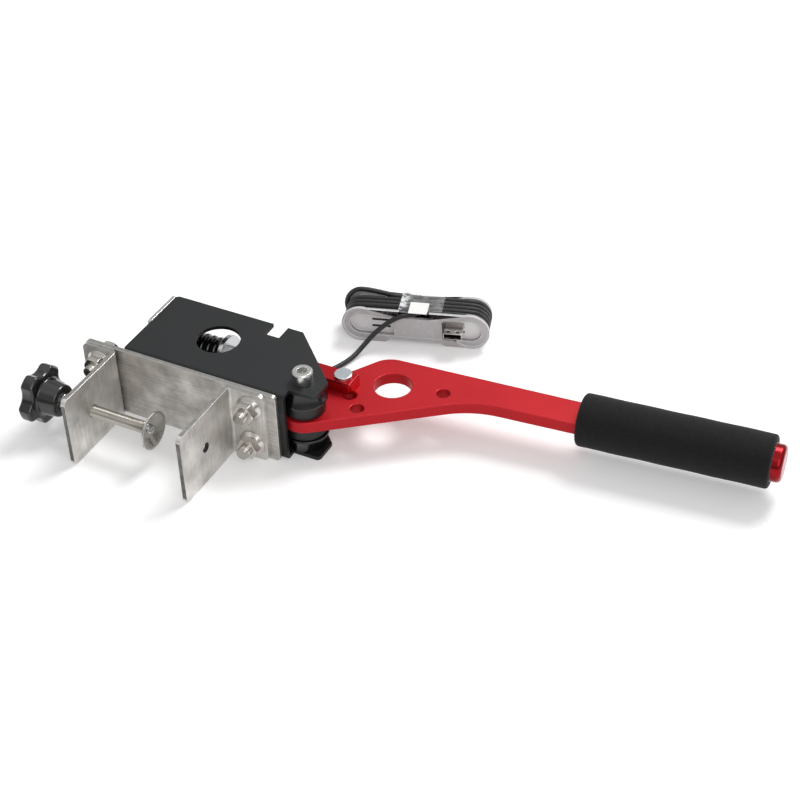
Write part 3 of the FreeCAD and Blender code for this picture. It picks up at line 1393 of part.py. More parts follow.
def make_knob():
    """Five-lobed knob with its conical neck, and the metal insert that holds the rod."""
    rear = -d.knob_left
    neck_end = rear + d.knob_long
    rim_end = rear + d.knob_rim
    knob = new_body("star_knob")
    disc = sketch_on(knob, "knob_disc", "YZ_Plane", rear)
    circle(disc, 0, 0, d.knob_wide)
    pad(knob, disc, d.knob_rim)
    scallop = sketch_on(knob, "knob_scallop", "YZ_Plane", rim_end)
    between_lobes = d.knob_turn + as_size(180) / d.knob_lobes
    circle(scallop, d.knob_scallop_out * cosine(between_lobes), d.knob_scallop_out * sine(between_lobes),
           d.knob_scallop * 2)
    cut = pocket(knob, scallop, d.knob_rim)
    lobes = knob.newObject("PartDesign::PolarPattern", "knob_lobes")
    lobes.Originals = [cut]
    lobes.Axis = (scallop, ["N_Axis"])
    lobes.Angle = 360.0
    lobes.Occurrences = int(d.knob_lobes.value)
    knob.Tip = lobes
    doc.recompute()
    axis = Vector(1, 0, 0)
    outer = d.knob_wide.value / 2
    round_edges(knob, "lobe_tips", d.knob_tip_round, lambda edge: along(edge, axis))

    def lobe_rim(edge):
        spot = middle_of(edge)
        flat = min(abs(spot.x - rear.value), abs(spot.x - rim_end.value)) < 1e-6
        return flat and math.hypot(spot.y, spot.z) <= outer + 0.01

    round_edges(knob, "lobe_rims", d.knob_round, lobe_rim)
    cone = sketch_on(knob, "knob_cone", "XY_Plane")
    outline(cone, (
        (rim_end - d.knob_round, 0), (neck_end, 0), (neck_end, d.knob_neck / 2),
        (rim_end, d.knob_shoulder / 2),
        (rim_end - d.knob_round, d.knob_shoulder / 2),
    ))
    turned(knob, cone, "H_Axis")
    bores = (
        ("knob_bore", d.bolt_size, d.rod_in_knob),
        ("insert_bore", d.insert_wide, d.insert_deep - d.insert_stand_out),
    )
    for name, diameter, depth in bores:
        sketch = sketch_on(knob, name, "YZ_Plane", neck_end)
        circle(sketch, 0, 0, diameter)
        pocket(knob, sketch, depth)
    on_clamp_axis(knob)
    piece("star_knob", knob)

    insert = new_body("knob_insert")
    profile = sketch_on(insert, "insert_profile", "XY_Plane")
    end = neck_end + d.insert_stand_out
    outline(profile, (
        (end - d.insert_deep, d.bolt_size / 2), (end, d.bolt_size / 2),
        (end, d.insert_wide / 2), (end - d.insert_deep, d.insert_wide / 2),
    ))
    turned(insert, profile, "H_Axis")
    on_clamp_axis(insert)
    piece("knob_insert", insert)


def winder_axis():
    return Rotation(Vector(0, 0, 1), d.winder_angle.value)


def lobe_centres():
    return (d.winder_left, d.winder_left + d.lobe_spacing)


def dumbbell(body, name, back):
    """Flange of the winder, two thick, ending at back: round lobes joined by a lower waist."""
    left, right = lobe_centres()
    centre = d.lobe_radius
    leave_x = d.lobe_radius * cosine(d.lobe_leave)
    leave_z = d.lobe_radius * sine(d.lobe_leave)
    waist_start = left + d.waist_left
    waist_end = waist_start + d.waist_long
    half = d.waist_high / 2
    bar = sketch_on(body, name + "_waist", "XZ_Plane", -back)
    upper = (
        (left + leave_x, leave_z), (waist_start, half), (waist_end, half), (right - leave_x, leave_z),
    )
    lower = tuple((x, -z) for x, z in reversed(upper))
    outline(bar, tuple((x, centre + z) for x, z in upper + lower))
    pad(body, bar, d.flange_thick)
    discs = sketch_on(body, name + "_lobes", "XZ_Plane", -back)
    for x in (left, right):
        circle(discs, x, centre, d.lobe_radius * 2)
    pad(body, discs, d.flange_thick)


def lobe_discs(body, name, depth_y, diameter):
    """Sketch with one circle round each lobe's centre."""
    sketch = sketch_on(body, name, "XZ_Plane", -depth_y)
    for x in lobe_centres():
        circle(sketch, x, d.lobe_radius, diameter)
    return sketch


def make_winder():
    """Cable winder: two flanges on a hollow core, with a tray in the front of each lobe."""
    body = new_body("cable_winder")
    left, right = lobe_centres()
    centre = d.lobe_radius
    front = d.winder_front
    winding = d.turn_pitch * (d.turn_count - 1) + d.cable_wide + d.seat_gap * 2
    front_inside = front + d.flange_thick
    back_inside = front_inside + winding
    back = back_inside + d.flange_thick
    core = d.turn_radius - d.cable_wide / 2 - d.core_gap
    hollow = core - d.core_wall
    floor_back = front + d.tray_deep + d.tray_floor

    bar = sketch_on(body, "core_bar", "XZ_Plane", -back_inside)
    rectangle(bar, left, centre - core, right, centre + core)
    pad(body, bar, winding)
    pad(body, lobe_discs(body, "core_ends", back_inside, core * 2), winding)
    dumbbell(body, "front_flange", front_inside)
    dumbbell(body, "back_flange", back)

    hollow_bar = sketch_on(body, "hollow_bar", "XZ_Plane", -back)
    rectangle(hollow_bar, left, centre - hollow, right, centre + hollow)
    pocket(body, hollow_bar, back - floor_back, backwards=True)
    pocket(body, lobe_discs(body, "hollow_ends", back, hollow * 2), back - floor_back, backwards=True)
    panel_left = left + d.panel_left
    panel_right = panel_left + d.panel_long
    panel = sketch_on(body, "panel_hollow", "XZ_Plane", -back)
    rectangle(panel, panel_left + d.core_wall, centre - d.tray_radius + d.core_wall,
              panel_right - d.core_wall, centre + d.tray_radius - d.core_wall)
    pocket(body, panel, back - front - d.core_wall, backwards=True)

    pocket(body, lobe_discs(body, "recesses", front, d.recess_wide * 2), d.recess_deep)
    pocket(body, lobe_discs(body, "tray_ends", front, d.tray_radius * 2), d.tray_deep)
    trays = sketch_on(body, "trays", "XZ_Plane", -front)
    rectangle(trays, left, centre - d.tray_radius, panel_left, centre + d.tray_radius)
    rectangle(trays, panel_right, centre - d.tray_radius, right, centre + d.tray_radius)
    pocket(body, trays, d.tray_deep)

    slots = sketch_on(body, "tray_slots", "XZ_Plane", -floor_back)
    left_slot = left + d.left_slot_x
    plug = left + d.plug_x
    upper = d.slot_mid + d.slot_step / 2
    lower = d.slot_mid - d.slot_step / 2
    slot_places = ((left_slot, upper), (left_slot, lower), (plug, lower))
    for x, z in slot_places:
        rectangle(slots, x - d.slot_long / 2, z - d.slot_high / 2, x + d.slot_long / 2, z + d.slot_high / 2)
    pocket(body, slots, d.tray_floor * 3, both_ways=True)
    plug_slot = sketch_on(body, "plug_slot", "XZ_Plane", -floor_back)
    half_wide = (d.shell_wide + d.play * 2) / 2
    half_high = (d.shell_high + d.play * 2) / 2
    rectangle(plug_slot, plug - half_wide, upper - half_high, plug + half_wide, upper + half_high)
    pocket(body, plug_slot, d.tray_floor * 3, both_ways=True)
    place(body, 0, 0, 0, winder_axis())
    return piece("cable_winder", body)


def plug_middle():
    """Place of the plug along the winder and its height."""
    return d.winder_left + d.plug_x, d.slot_mid + d.slot_step / 2


def box_between(body, name, back, wide, high, length):
    """Block round the plug's axis that ends at back, along the winder's own directions."""
    x, z = plug_middle()
    sketch = sketch_on(body, name, "XZ_Plane", -back)
    rectangle(sketch, x - wide / 2, z - high / 2, x + wide / 2, z + high / 2)
    return pad(body, sketch, length)


def plug_faces():
    """Front of the shell, joint between shell and body, rear of the body, rear of the strain relief."""
    shell_front = d.winder_front - d.shell_stand_out
    body_front = shell_front + d.shell_long
    body_rear = body_front + d.plug_long
    return shell_front, body_front, body_rear, body_rear + d.relief_long


def make_plug():
    """Plug in the winder's slot: metal shell with its windows, tongue, moulded body and strain relief."""
    shell_front, body_front, body_rear, relief_rear = plug_faces()
    x, z = plug_middle()
    shell = new_body("usb_plug_shell")
    box_between(shell, "shell_block", body_front, d.shell_wide, d.shell_high, d.shell_long)
    inside = sketch_on(shell, "shell_inside", "XZ_Plane", -shell_front)
    half_wide = d.shell_wide / 2 - d.shell_wall
    half_high = d.shell_high / 2 - d.shell_wall
    rectangle(inside, x - half_wide, z - half_high, x + half_wide, z + half_high)
    pocket(shell, inside, d.shell_long * 3, both_ways=True)
    windows = sketch_on(shell, "shell_windows", "XY_Plane", z + d.shell_high)
    for side in (-1, 1):
        window_x = x + d.shell_wide / 4 * side
        window_y = shell_front + d.shell_stand_out / 2
        half = d.shell_window / 2
        rectangle(windows, window_x - half, window_y - half, window_x + half, window_y + half)
    pocket(shell, windows, d.shell_high)
    place(shell, 0, 0, 0, winder_axis())
    piece("usb_plug_shell", shell)

    tongue = new_body("usb_plug_tongue")
    sketch = sketch_on(tongue, "tongue_block", "XZ_Plane", -body_front)
    top = z + half_high
    rectangle(sketch, x - half_wide, top - d.tongue_high, x + half_wide, top)
    pad(tongue, sketch, d.shell_long - d.tongue_back)
    place(tongue, 0, 0, 0, winder_axis())
    piece("usb_plug_tongue", tongue)

    body = new_body("usb_plug_body")
    box_between(body, "plug_block", body_rear, d.plug_wide, d.plug_high, d.plug_long)
    round_edges(body, "plug_edges", d.plug_round, lambda edge: along(edge, Vector(0, 1, 0)))
    relief = sketch_on(body, "relief_round", "XZ_Plane", -relief_rear)
    circle(relief, x, z, d.relief_wide)
    pad(body, relief, d.relief_long + OVERRUN)
    place(body, 0, 0, 0, winder_axis())
    piece("usb_plug_body", body)


def make_tape_and_tag():
    """Film over the winding, bent down over the back flange, and the bare tag stuck on it."""
    top_of_winding = d.lobe_radius + d.turn_radius + d.cable_wide / 2
    low = top_of_winding + d.face_gap
    high = low + d.tape_thick
    front = d.winder_front + d.flange_thick + d.seat_gap
    winding = d.turn_pitch * (d.turn_count - 1) + d.cable_wide + d.seat_gap * 2
    back_inner = d.winder_front + d.flange_thick * 2 + winding + d.face_gap
    back_outer = back_inner + d.tape_thick
    foot = d.lobe_radius - d.waist_high / 2
    left = d.winder_left + d.tape_left
    tape = new_body("winder_tape")
    section = sketch_on(tape, "tape_section", "YZ_Plane", left)
    outline(section, (
        (front, low), (back_inner, low), (back_inner, foot),
        (back_outer, foot), (back_outer, high), (front, high),
    ))
    pad(tape, section, d.tape_wide)
    bend = d.cable_wide / 2
    round_edges(tape, "tape_inner_bend", bend, lengthwise_at((back_inner, low)))
    round_edges(tape, "tape_outer_bend", bend + d.tape_thick, lengthwise_at((back_outer, high)))
    place(tape, 0, 0, 0, winder_axis())
    piece("winder_tape", tape)

    tag = new_body("cable_tag")
    face = sketch_on(tag, "tag_face", "XY_Plane", high)
    tag_left = d.winder_left + d.tag_left
    tag_front = d.winder_front - d.tag_out
    rectangle(face, tag_left, tag_front, tag_left + d.tag_side, tag_front + d.tag_side)
    pad(tag, face, d.tag_thick)
    place(tag, 0, 0, 0, winder_axis())
    piece("cable_tag", tag)


# Hand-chosen points of the cable's free stretch, from the gland to the winder
LEAD_POINTS = (
    (-47.2, 26.4, 12.0), (-44.8, 35.0, 8.4), (-39.0, 45.4, 5.2), (-31.2, 56.2, 2.6), (-23.6, 66.0, 1.9),
    (-18.2, 77.0, 1.9), (-14.8, 88.0, 2.2), (-11.8, 97.6, 6.6), (-7.8, 105.4, 12.4), (-1.6, 111.6, 18.2),
    (5.6, 116.0, 23.0), (13.0, 119.7, 24.2),
)

# Hand-chosen points of the cable's last stretch behind the winder, in the winder's own directions
TAIL_POINTS = (
    (54.6, 129.6, 2.4), (47.8, 136.4, 2.4), (47.8, 146.0, 2.4), (54.6, 152.8, 3.0), (62.6, 153.8, 3.8),
    (70.0, 153.2, 5.6), (76.0, 149.8, 9.6), (76.5, 144.0, 15.4),
)
GLAND_RUN = 7.4
HANK_START = 66.0
HANK_ENTRY = 57.0
HANK_END = 64.0
SHIFT_START = 62.0
LOOSE_END = 38.5


def turn_to_world(points):
    """From the winder's own directions to the frame's."""
    rotation = winder_axis()
    return [rotation.multVec(point) for point in points]


def strand_y(index):
    first = d.winder_front + d.flange_thick + d.seat_gap + d.cable_wide / 2
    return first.value + d.turn_pitch.value * index


def hank_edges():
    """Winding round both lobes: level runs on top, half turns at the lobes, sideways shifts below."""
    left, right = (size.value for size in lobe_centres())
    radius = d.turn_radius.value
    centre = d.lobe_radius.value
    top, bottom = centre + radius, centre - radius
    forth, back = Vector(1, 0, 0), Vector(-1, 0, 0)
    last = int(d.turn_count.value) - 1
    edges = []
    start = Vector(HANK_START, strand_y(0), top)
    for strand in range(last + 1):
        y = strand_y(strand)
        low_right = Vector(right, y, bottom)
        edges += straight(start, Vector(right, y, top))
        edges += half_circle(Vector(right, y, top), Vector(right + radius, y, centre), low_right)
        if strand == last:
            edges += straight(low_right, Vector(HANK_END, y, bottom))
            break
        next_y = strand_y(strand + 1)
        rise = d.loose_rise.value / 2 if strand + 1 == last else 0.0
        low_left = Vector(left, next_y, bottom)
        high_left = Vector(left, next_y, top + rise * 2)
        shift_start = Vector(SHIFT_START, y, bottom)
        edges += straight(low_right, shift_start) + biarc(shift_start, back, low_left, back)
        edges += half_circle(low_left, Vector(left - radius - rise, next_y, centre + rise), high_left)
        start = high_left
        if rise:
            start = Vector(LOOSE_END, next_y, top)
            edges += biarc(high_left, forth, start, forth)
    return edges


def make_cable():
    """The cable in three stretches that meet face to face: free stretch, winding,
    last stretch to the plug."""
    size = d.cable_wide.value
    top = d.lobe_radius.value + d.turn_radius.value
    gland = Vector(-d.gland_x.value, (lid_front() + d.gland_long).value, (middle - d.gland_drop).value)
    entry = turn_to_world([Vector(HANK_ENTRY, strand_y(0), top), Vector(HANK_START, strand_y(0), top)])
    lead_points = [gland, gland + Vector(0, GLAND_RUN, 0)]
    lead_points += [Vector(*point) for point in LEAD_POINTS] + entry
    relief_rear = plug_faces()[-1].value
    plug_x, plug_z = (size.value for size in plug_middle())
    tail_points = turn_to_world(
        [Vector(HANK_END, strand_y(d.turn_count.value - 1), d.lobe_radius.value - d.turn_radius.value)]
        + [Vector(*point) for point in TAIL_POINTS] + [Vector(plug_x, relief_rear, plug_z)])
    hank = Part.Wire(hank_edges())
    hank.Placement = Placement(Vector(), winder_axis())
    stretches = (
        ("usb_cable_lead", rounded_route("usb_cable_lead", lead_points)),
        ("usb_cable_hank", hank.Edges),
        ("usb_cable_tail", rounded_route("usb_cable_tail", tail_points)),
    )
    for name, edges in stretches:
        solid, wire = tube_along(name, edges, size)
        if name == "usb_cable_hank":
            least_gap(name, wire, size)
        cable = doc.addObject("Part::Feature", name)
        cable.Shape = solid
        piece(name, cable)


def write_pieces():
    """Checks every object and every sub-part, then writes one file for each node."""
    doc.recompute()
    for thing in doc.Objects:
        if "Invalid" in thing.State or "Error" in thing.State:
            raise RuntimeError("failed object " + thing.Name)
    for name, thing in pieces.items():
        if thing.Shape.isNull() or not thing.Shape.isValid():
            raise RuntimeError("bad shape " + name)
    os.makedirs("parts", exist_ok=True)
    for name, thing in pieces.items():
        thing.Shape.exportStep("parts/%s.step" % name)


make_housing()
make_end_plate()
make_small_screws()
make_back_plate()
make_bracket("screw_jaw", -d.screw_jaw_face, -d.plate_left, -1, d.bolt_size + d.play * 4, d.bolt_left)
make_bracket(
    "fixed_jaw", -d.screw_jaw_face + d.clamp_opening, -d.right_flange_end, 1, d.jaw_hole, d.bolt_right)
make_mounting_hardware()
make_pivot()
make_lever()
make_bush()
make_lever_magnet()
make_grip()
make_clevis()
make_rod()
make_return_spring()
make_sensor()
make_clamp()
make_knob()
make_winder()
make_plug()
make_tape_and_tag()
make_cable()
write_pieces()
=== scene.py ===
"""Looks of the sim racing handbrake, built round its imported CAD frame.

Metres throughout. The frame is the CAD's own: the origin lies on the lever's pivot axis at the floor,
+X runs towards the lever's tip, +Y from the clamp side to the housing's open side, +Z up.
"""
import logging
import math
from collections.abc import Callable
from dataclasses import dataclass
from enum import Enum
from typing import ClassVar

import bmesh
import bpy
import numpy as np
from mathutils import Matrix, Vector


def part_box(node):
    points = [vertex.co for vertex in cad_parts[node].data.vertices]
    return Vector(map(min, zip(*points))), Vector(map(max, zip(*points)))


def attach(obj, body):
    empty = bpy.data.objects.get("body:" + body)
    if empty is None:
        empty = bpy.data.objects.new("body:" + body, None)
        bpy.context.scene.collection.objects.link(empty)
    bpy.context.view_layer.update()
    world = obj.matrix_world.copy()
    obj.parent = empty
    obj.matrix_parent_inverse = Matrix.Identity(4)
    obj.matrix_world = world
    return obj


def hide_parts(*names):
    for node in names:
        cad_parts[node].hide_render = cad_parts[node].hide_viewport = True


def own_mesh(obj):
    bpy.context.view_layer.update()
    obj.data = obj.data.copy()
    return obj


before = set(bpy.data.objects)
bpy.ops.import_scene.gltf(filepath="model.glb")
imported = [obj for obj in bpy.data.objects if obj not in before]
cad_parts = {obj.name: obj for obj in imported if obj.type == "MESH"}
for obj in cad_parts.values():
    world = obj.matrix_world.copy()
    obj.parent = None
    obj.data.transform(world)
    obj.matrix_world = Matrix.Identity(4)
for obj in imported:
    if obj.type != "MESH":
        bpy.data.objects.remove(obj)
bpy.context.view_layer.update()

log = logging.getLogger("handbrake")
Socket = bpy.types.NodeSocket
Piece = bpy.types.Object
Inputs = dict[str | int, object]
Colour = tuple[float, float, float]
Point = tuple[float, float, float]
Surface = tuple[np.ndarray, list[tuple[int, ...]]]
Zone = Callable[[np.ndarray, np.ndarray], np.ndarray]
WHITE = (1.0, 1.0, 1.0, 1.0)

# The winder's turn about the upright axis.
WINDER_ANGLE = math.radians(17.58)
# Points of a CAD mesh nearer than this are one, and faces that turn by less than this are one.
SAME_POINT = 2e-6
FLAT_ANGLE = math.radians(0.4)
# Faces of a new piece that turn by less than this are shaded as one.
SMOOTH_ANGLE = math.radians(40.0)
# Rounded edges: how far an edge turns to be rounded, in degrees, and its width in metres.
EDGE_ANGLE = 32.0
EDGE_WIDTH = 0.0003
# Parts of a face's normal along an axis: it looks along the axis, slants, or runs along it.
LOOKING = 0.99
SLANTED = 0.7
RUNNING = 0.3


class Axis(Enum):
    """Direction of a turned piece or of the brush marks on a metal."""

    X = 0
    Y = 1
    Z = 2


class Coordinates(Enum):
    """What a pattern follows: the piece's place, or its own surface."""

    OBJECT = "Object"
    UV = "UV"


class Nodes:
    """Node tree of a material or of the world."""

    def __init__(self, tree: bpy.types.NodeTree) -> None:
        """Empties the tree."""
        self.tree = tree
        tree.nodes.clear()

    def link(self, source: Socket, target: Socket) -> None:
        """Joins two sockets."""
        self.tree.links.new(source, target)

    def node(self, kind: str, inputs: Inputs | None = None, **settings: str) -> bpy.types.Node:
        """A new node.

        Args:
            kind: Its type, without the leading ShaderNode.
            inputs: What its input sockets take, by their names or numbers: another socket or a value.
            settings: Its own settings, which are set before its inputs.

        Returns:
            The node.
        """
        node = self.tree.nodes.new("ShaderNode" + kind)
        for name, value in settings.items():
            setattr(node, name, value)
        for name, value in (inputs or {}).items():
            if isinstance(value, Socket):
                self.link(value, node.inputs[name])
            else:
                node.inputs[name].default_value = value
        return node

    def combine(self, operation: str, first: Socket, second: Socket | float) -> Socket:
        """One arithmetic step on two values."""
        return self.node("Math", {0: first, 1: second}, operation=operation).outputs[0]

    def rays(self, *kinds: str) -> Socket:
        """One where the ray is of any of the kinds.

        Args:
            kinds: Outputs of the Light Path node.

        Returns:
            The value's socket.
        """
        path = self.node("LightPath")
        result = path.outputs[kinds[0]]
        for kind in kinds[1:]:
            result = self.combine("MAXIMUM", result, path.outputs[kind])
        return result


class Graph(Nodes):
    """Node tree of one material, with one method for each kind of pattern that the finishes use."""

    def __init__(self, name: str, coordinates: Coordinates = Coordinates.OBJECT) -> None:
        """Starts a material.

        Args:
            name: Its name.
            coordinates: What its patterns follow.
        """
        self.material = bpy.data.materials.new(name)
        self.material.use_nodes = True
        super().__init__(self.material.node_tree)
        self.shader = self.node("BsdfPrincipled")
        self.output = self.node("OutputMaterial", {"Surface": self.shader.outputs["BSDF"]})
        self.place = self.node("TexCoord").outputs[coordinates.value]

    def set(self, **values: float | tuple[float, ...]) -> None:
        """Sets the shader's own sockets, named in lower case with underscores."""
        for name, value in values.items():
            self.shader.inputs[name.replace("_", " ").title().replace("Ior", "IOR")].default_value = value

    def feed(self, name: str, source: Socket) -> None:
        """Drives one of the shader's sockets by a pattern."""
        self.link(source, self.shader.inputs[name])

    def stretched(self, scale: Point) -> Socket:
        """The coordinates, multiplied by a scale along each axis."""
        return self.node("Mapping", {"Vector": self.place, "Scale": scale}).outputs["Vector"]

    def noise(self, scale: float, detail: float = 3.0, rough: float = 0.5,
              place: Socket | None = None) -> Socket:
        """Soft noise from 0 to 1.

        Args:
            scale: Patches per metre, or per unit of the coordinates.
            detail: Octaves added to the first.
            rough: Share of each further octave.
            place: Coordinates other than the graph's own.

        Returns:
            The value's socket.
        """
        inputs = {"Scale": scale, "Detail": detail, "Roughness": rough, "Vector": place or self.place}
        return self.node("TexNoise", inputs).outputs["Fac"]

    def streaks(self, along: Axis, across: float, lengthwise: float, detail: float, rough: float) -> Socket:
        """Noise drawn out along an axis.

        Args:
            along: The axis.
            across: Patches per metre across it.
            lengthwise: Patches per metre along it.
            detail: Octaves added to the first.
            rough: Share of each further octave.

        Returns:
            The value's socket.
        """
        scale = [across] * 3
        scale[along.value] = lengthwise
        return self.noise(1.0, detail, rough, self.stretched(tuple(scale)))

    def span(self, value: Socket, low: float, high: float, start: float = 0.25,
             end: float = 0.75) -> Socket:
        """Maps start to end of a value to low and high, and holds it there."""
        inputs = {"Value": value, "From Min": start, "From Max": end, "To Min": low, "To Max": high}
        return self.node("MapRange", inputs).outputs["Result"]

    def blend(self, value: Socket, first: Colour, second: Colour) -> Socket:
        """Colour between two, by a value from 0 to 1."""
        inputs = {"Factor": value, "A": (*first, 1.0), "B": (*second, 1.0)}
        return self.node("Mix", inputs, data_type="RGBA").outputs["Result"]

    def bump(self, height: Socket, depth: float, strength: float = 1.0) -> None:
        """Raises the surface, on top of any bump set before.

        Args:
            height: Pattern from 0 to 1.
            depth: Height in metres where the pattern is 1.
            strength: Share of the bump that shows.
        """
        node = self.node("Bump", {"Distance": depth, "Strength": strength, "Height": height})
        before = self.shader.inputs["Normal"].links
        if before:
            self.link(before[0].from_socket, node.inputs["Normal"])
        self.feed("Normal", node.outputs["Normal"])


def shade(colour: Colour, factor: float) -> Colour:
    """The colour, darker or lighter by a factor."""
    return tuple(min(part * factor, 1.0) for part in colour)


@dataclass(frozen=True)
class Finish:
    """A named finish: its base colour and its mean roughness."""

    name: str
    colour: Colour
    roughness: float = 0.3
    coordinates: ClassVar[Coordinates] = Coordinates.OBJECT

    def material(self) -> bpy.types.Material:
        """Builds the finish's material."""
        graph = Graph(self.name, self.coordinates)
        self.paint(graph)
        return graph.material

    def paint(self, graph: Graph) -> None:
        """Fills the graph. Each kind of finish has its own way."""
        raise NotImplementedError

    def vary(self, graph: Graph, tone: Socket, shades: tuple[float, float], gloss: Socket,
             spread: tuple[float, float]) -> None:
        """Lets colour and roughness vary.

        Args:
            graph: The material's nodes.
            tone: Pattern that the colour follows.
            shades: Factors on the colour at the pattern's low and high end.
            gloss: Pattern that the roughness follows.
            spread: What is added to the roughness at that pattern's low and high end.
        """
        graph.feed("Base Color", graph.blend(tone, *(shade(self.colour, factor) for factor in shades)))
        graph.feed("Roughness", graph.span(gloss, *(self.roughness + step for step in spread)))


@dataclass(frozen=True)
class Coat(Finish):
    """Powder coat or paint: fine orange-peel grain, slightly uneven gloss."""

    shine: float = 0.35

    def paint(self, graph: Graph) -> None:
        """Fills the graph."""
        graph.set(specular_ior_level=self.shine)
        self.vary(graph, graph.noise(60.0), (0.85, 1.15), graph.noise(220.0), (-0.05, 0.06))
        graph.bump(graph.noise(1400.0, 2.0), 0.00002)


@dataclass(frozen=True)
class Brushed(Finish):
    """Metal with brush marks along one axis: streaks in its gloss, its tone and its surface."""

    along: Axis = Axis.X
    marks: float = 2600.0

    def paint(self, graph: Graph) -> None:
        """Fills the graph."""
        graph.set(metallic=1.0)
        streaks = graph.streaks(self.along, self.marks, self.marks * 0.012, 4.0, 0.65)
        self.vary(graph, streaks, (0.86, 1.1), streaks, (-0.07, 0.1))
        graph.bump(streaks, 0.000012)


@dataclass(frozen=True)
class Rolled(Finish):
    """Stainless sheet as it leaves the mill: cloudy patches, faint streaks along one axis, a few thin
    scratches."""

    along: Axis = Axis.X
    patches: float = 75.0
    contrast: float = 0.3

    def paint(self, graph: Graph) -> None:
        """Fills the graph. The tone is six tenths patches, four tenths streaks; scratches are the rare
        peaks of a noise that is drawn out along the axis."""
        graph.set(metallic=1.0)
        streaks = graph.streaks(self.along, 1500.0, 30.0, 4.0, 0.6)
        patches = graph.noise(self.patches, 4.0, 0.55)
        both = graph.combine(
            "ADD", graph.combine("MULTIPLY", patches, 0.6), graph.combine("MULTIPLY", streaks, 0.4))
        low, high = shade(self.colour, 1.0 - self.contrast), shade(self.colour, 1.0 + self.contrast * 0.4)
        graph.feed("Base Color", graph.blend(graph.span(both, 0.0, 1.0, 0.36, 0.64), low, high))
        marks = graph.span(graph.streaks(self.along, 2400.0, 70.0, 2.0, 0.5), 0.0, 1.0, 0.66, 0.74)
        rough = graph.span(both, self.roughness + 0.1, self.roughness - 0.06, 0.36, 0.64)
        graph.feed("Roughness", graph.combine("ADD", rough, graph.combine("MULTIPLY", marks, 0.12)))
        graph.bump(streaks, 0.000010)
        graph.bump(marks, 0.000014)


@dataclass(frozen=True)
class Plated(Finish):
    """Zinc or nickel plated steel: bright, with faint clouds in its gloss."""

    roughness: float = 0.22

    def paint(self, graph: Graph) -> None:
        """Fills the graph."""
        graph.set(metallic=1.0)
        clouds = graph.noise(260.0, 3.0)
        self.vary(graph, clouds, (0.94, 1.04), clouds, (-0.03, 0.05))
        graph.bump(graph.noise(3200.0, 2.0), 0.000002)


@dataclass(frozen=True)
class Anodised(Finish):
    """Dyed anodised aluminium: blasted, finely speckled, with a satin gloss."""

    metallic: float = 0.55
    shine: float = 0.25

    def paint(self, graph: Graph) -> None:
        """Fills the graph."""
        graph.set(metallic=self.metallic, specular_ior_level=self.shine)
        self.vary(graph, graph.noise(1500.0, 2.0), (0.8, 1.2), graph.noise(60.0), (-0.04, 0.06))
        graph.bump(graph.noise(5200.0, 1.0), 0.000008)


@dataclass(frozen=True)
class Glossy(Finish):
    """Smooth moulded plastic or gloss enamel, with faint waves that break its reflections."""

    metallic: float = 0.0
    coat: float = 0.4

    def paint(self, graph: Graph) -> None:
        """Fills the graph."""
        graph.set(metallic=self.metallic, coat_weight=self.coat, coat_roughness=0.08)
        self.vary(graph, graph.noise(70.0, 2.0), (0.85, 1.15), graph.noise(160.0), (-0.03, 0.06))
        graph.bump(graph.noise(140.0, 1.0), 0.00002)


@dataclass(frozen=True)
class Moulded(Finish):
    """Matt moulded plastic with an eroded grain."""

    roughness: float = 0.55

    def paint(self, graph: Graph) -> None:
        """Fills the graph."""
        self.vary(graph, graph.noise(110.0, 3.0), (0.88, 1.12), graph.noise(500.0), (-0.06, 0.08))
        graph.bump(graph.noise(1800.0, 3.0), 0.00003)


@dataclass(frozen=True)
class Foam(Finish):
    """Closed-cell foam sleeve: grey specks on near black, no shine but a soft sheen."""

    speck: Colour = (0.012, 0.012, 0.013)

    def paint(self, graph: Graph) -> None:
        """Fills the graph. The bump is round cells on slow waves."""
        graph.set(sheen_weight=0.06, sheen_roughness=0.6, specular_ior_level=0.2)
        specks = graph.span(graph.noise(2600.0, 2.0, 0.6), 0.0, 1.0)
        graph.feed("Base Color", graph.blend(specks, self.colour, self.speck))
        graph.feed("Roughness", graph.span(graph.noise(400.0), 0.84, 0.96))
        cells = graph.node("TexVoronoi", {"Scale": 1700.0, "Vector": graph.place})
        graph.bump(cells.outputs["Distance"], 0.0001, 0.5)
        graph.bump(graph.noise(160.0, 3.0), 0.0002, 0.4)


@dataclass(frozen=True)
class Frosted(Finish):
    """Milky moulded plastic: pale, a little uneven in tone, with a soft gloss."""

    milky: float = 0.12

    def paint(self, graph: Graph) -> None:
        """Fills the graph."""
        graph.set(subsurface_weight=self.milky, subsurface_scale=0.002, ior=1.46)
        self.vary(graph, graph.noise(90.0, 2.0), (0.96, 1.03), graph.noise(300.0), (-0.05, 0.06))
        graph.bump(graph.noise(900.0, 2.0), 0.00003)


@dataclass(frozen=True)
class ClearFilm(Finish):
    """Clear sticky tape: see-through, glossy, white where it is torn and crinkled."""

    thin: float = 0.05
    crinkled: float = 0.9

    def paint(self, graph: Graph) -> None:
        """Fills the graph. The points' own crinkle value says where the film is torn and white."""
        graph.set(base_color=(*self.colour, 1.0), specular_ior_level=0.6)
        folds = graph.noise(260.0, 5.0, 0.6)
        crinkle = graph.node("Attribute", attribute_name="crinkle").outputs["Fac"]
        torn = graph.combine("MULTIPLY", crinkle, graph.span(folds, 0.0, 1.0, 0.42, 0.56))
        faint = graph.span(folds, self.thin, self.thin + 0.10, 0.4, 0.7)
        graph.feed("Alpha", graph.combine("MAXIMUM", faint, graph.combine("MULTIPLY", torn, self.crinkled)))
        graph.feed("Roughness", graph.span(graph.noise(420.0), 0.08, 0.2))
        graph.bump(folds, 0.0003, 0.6)


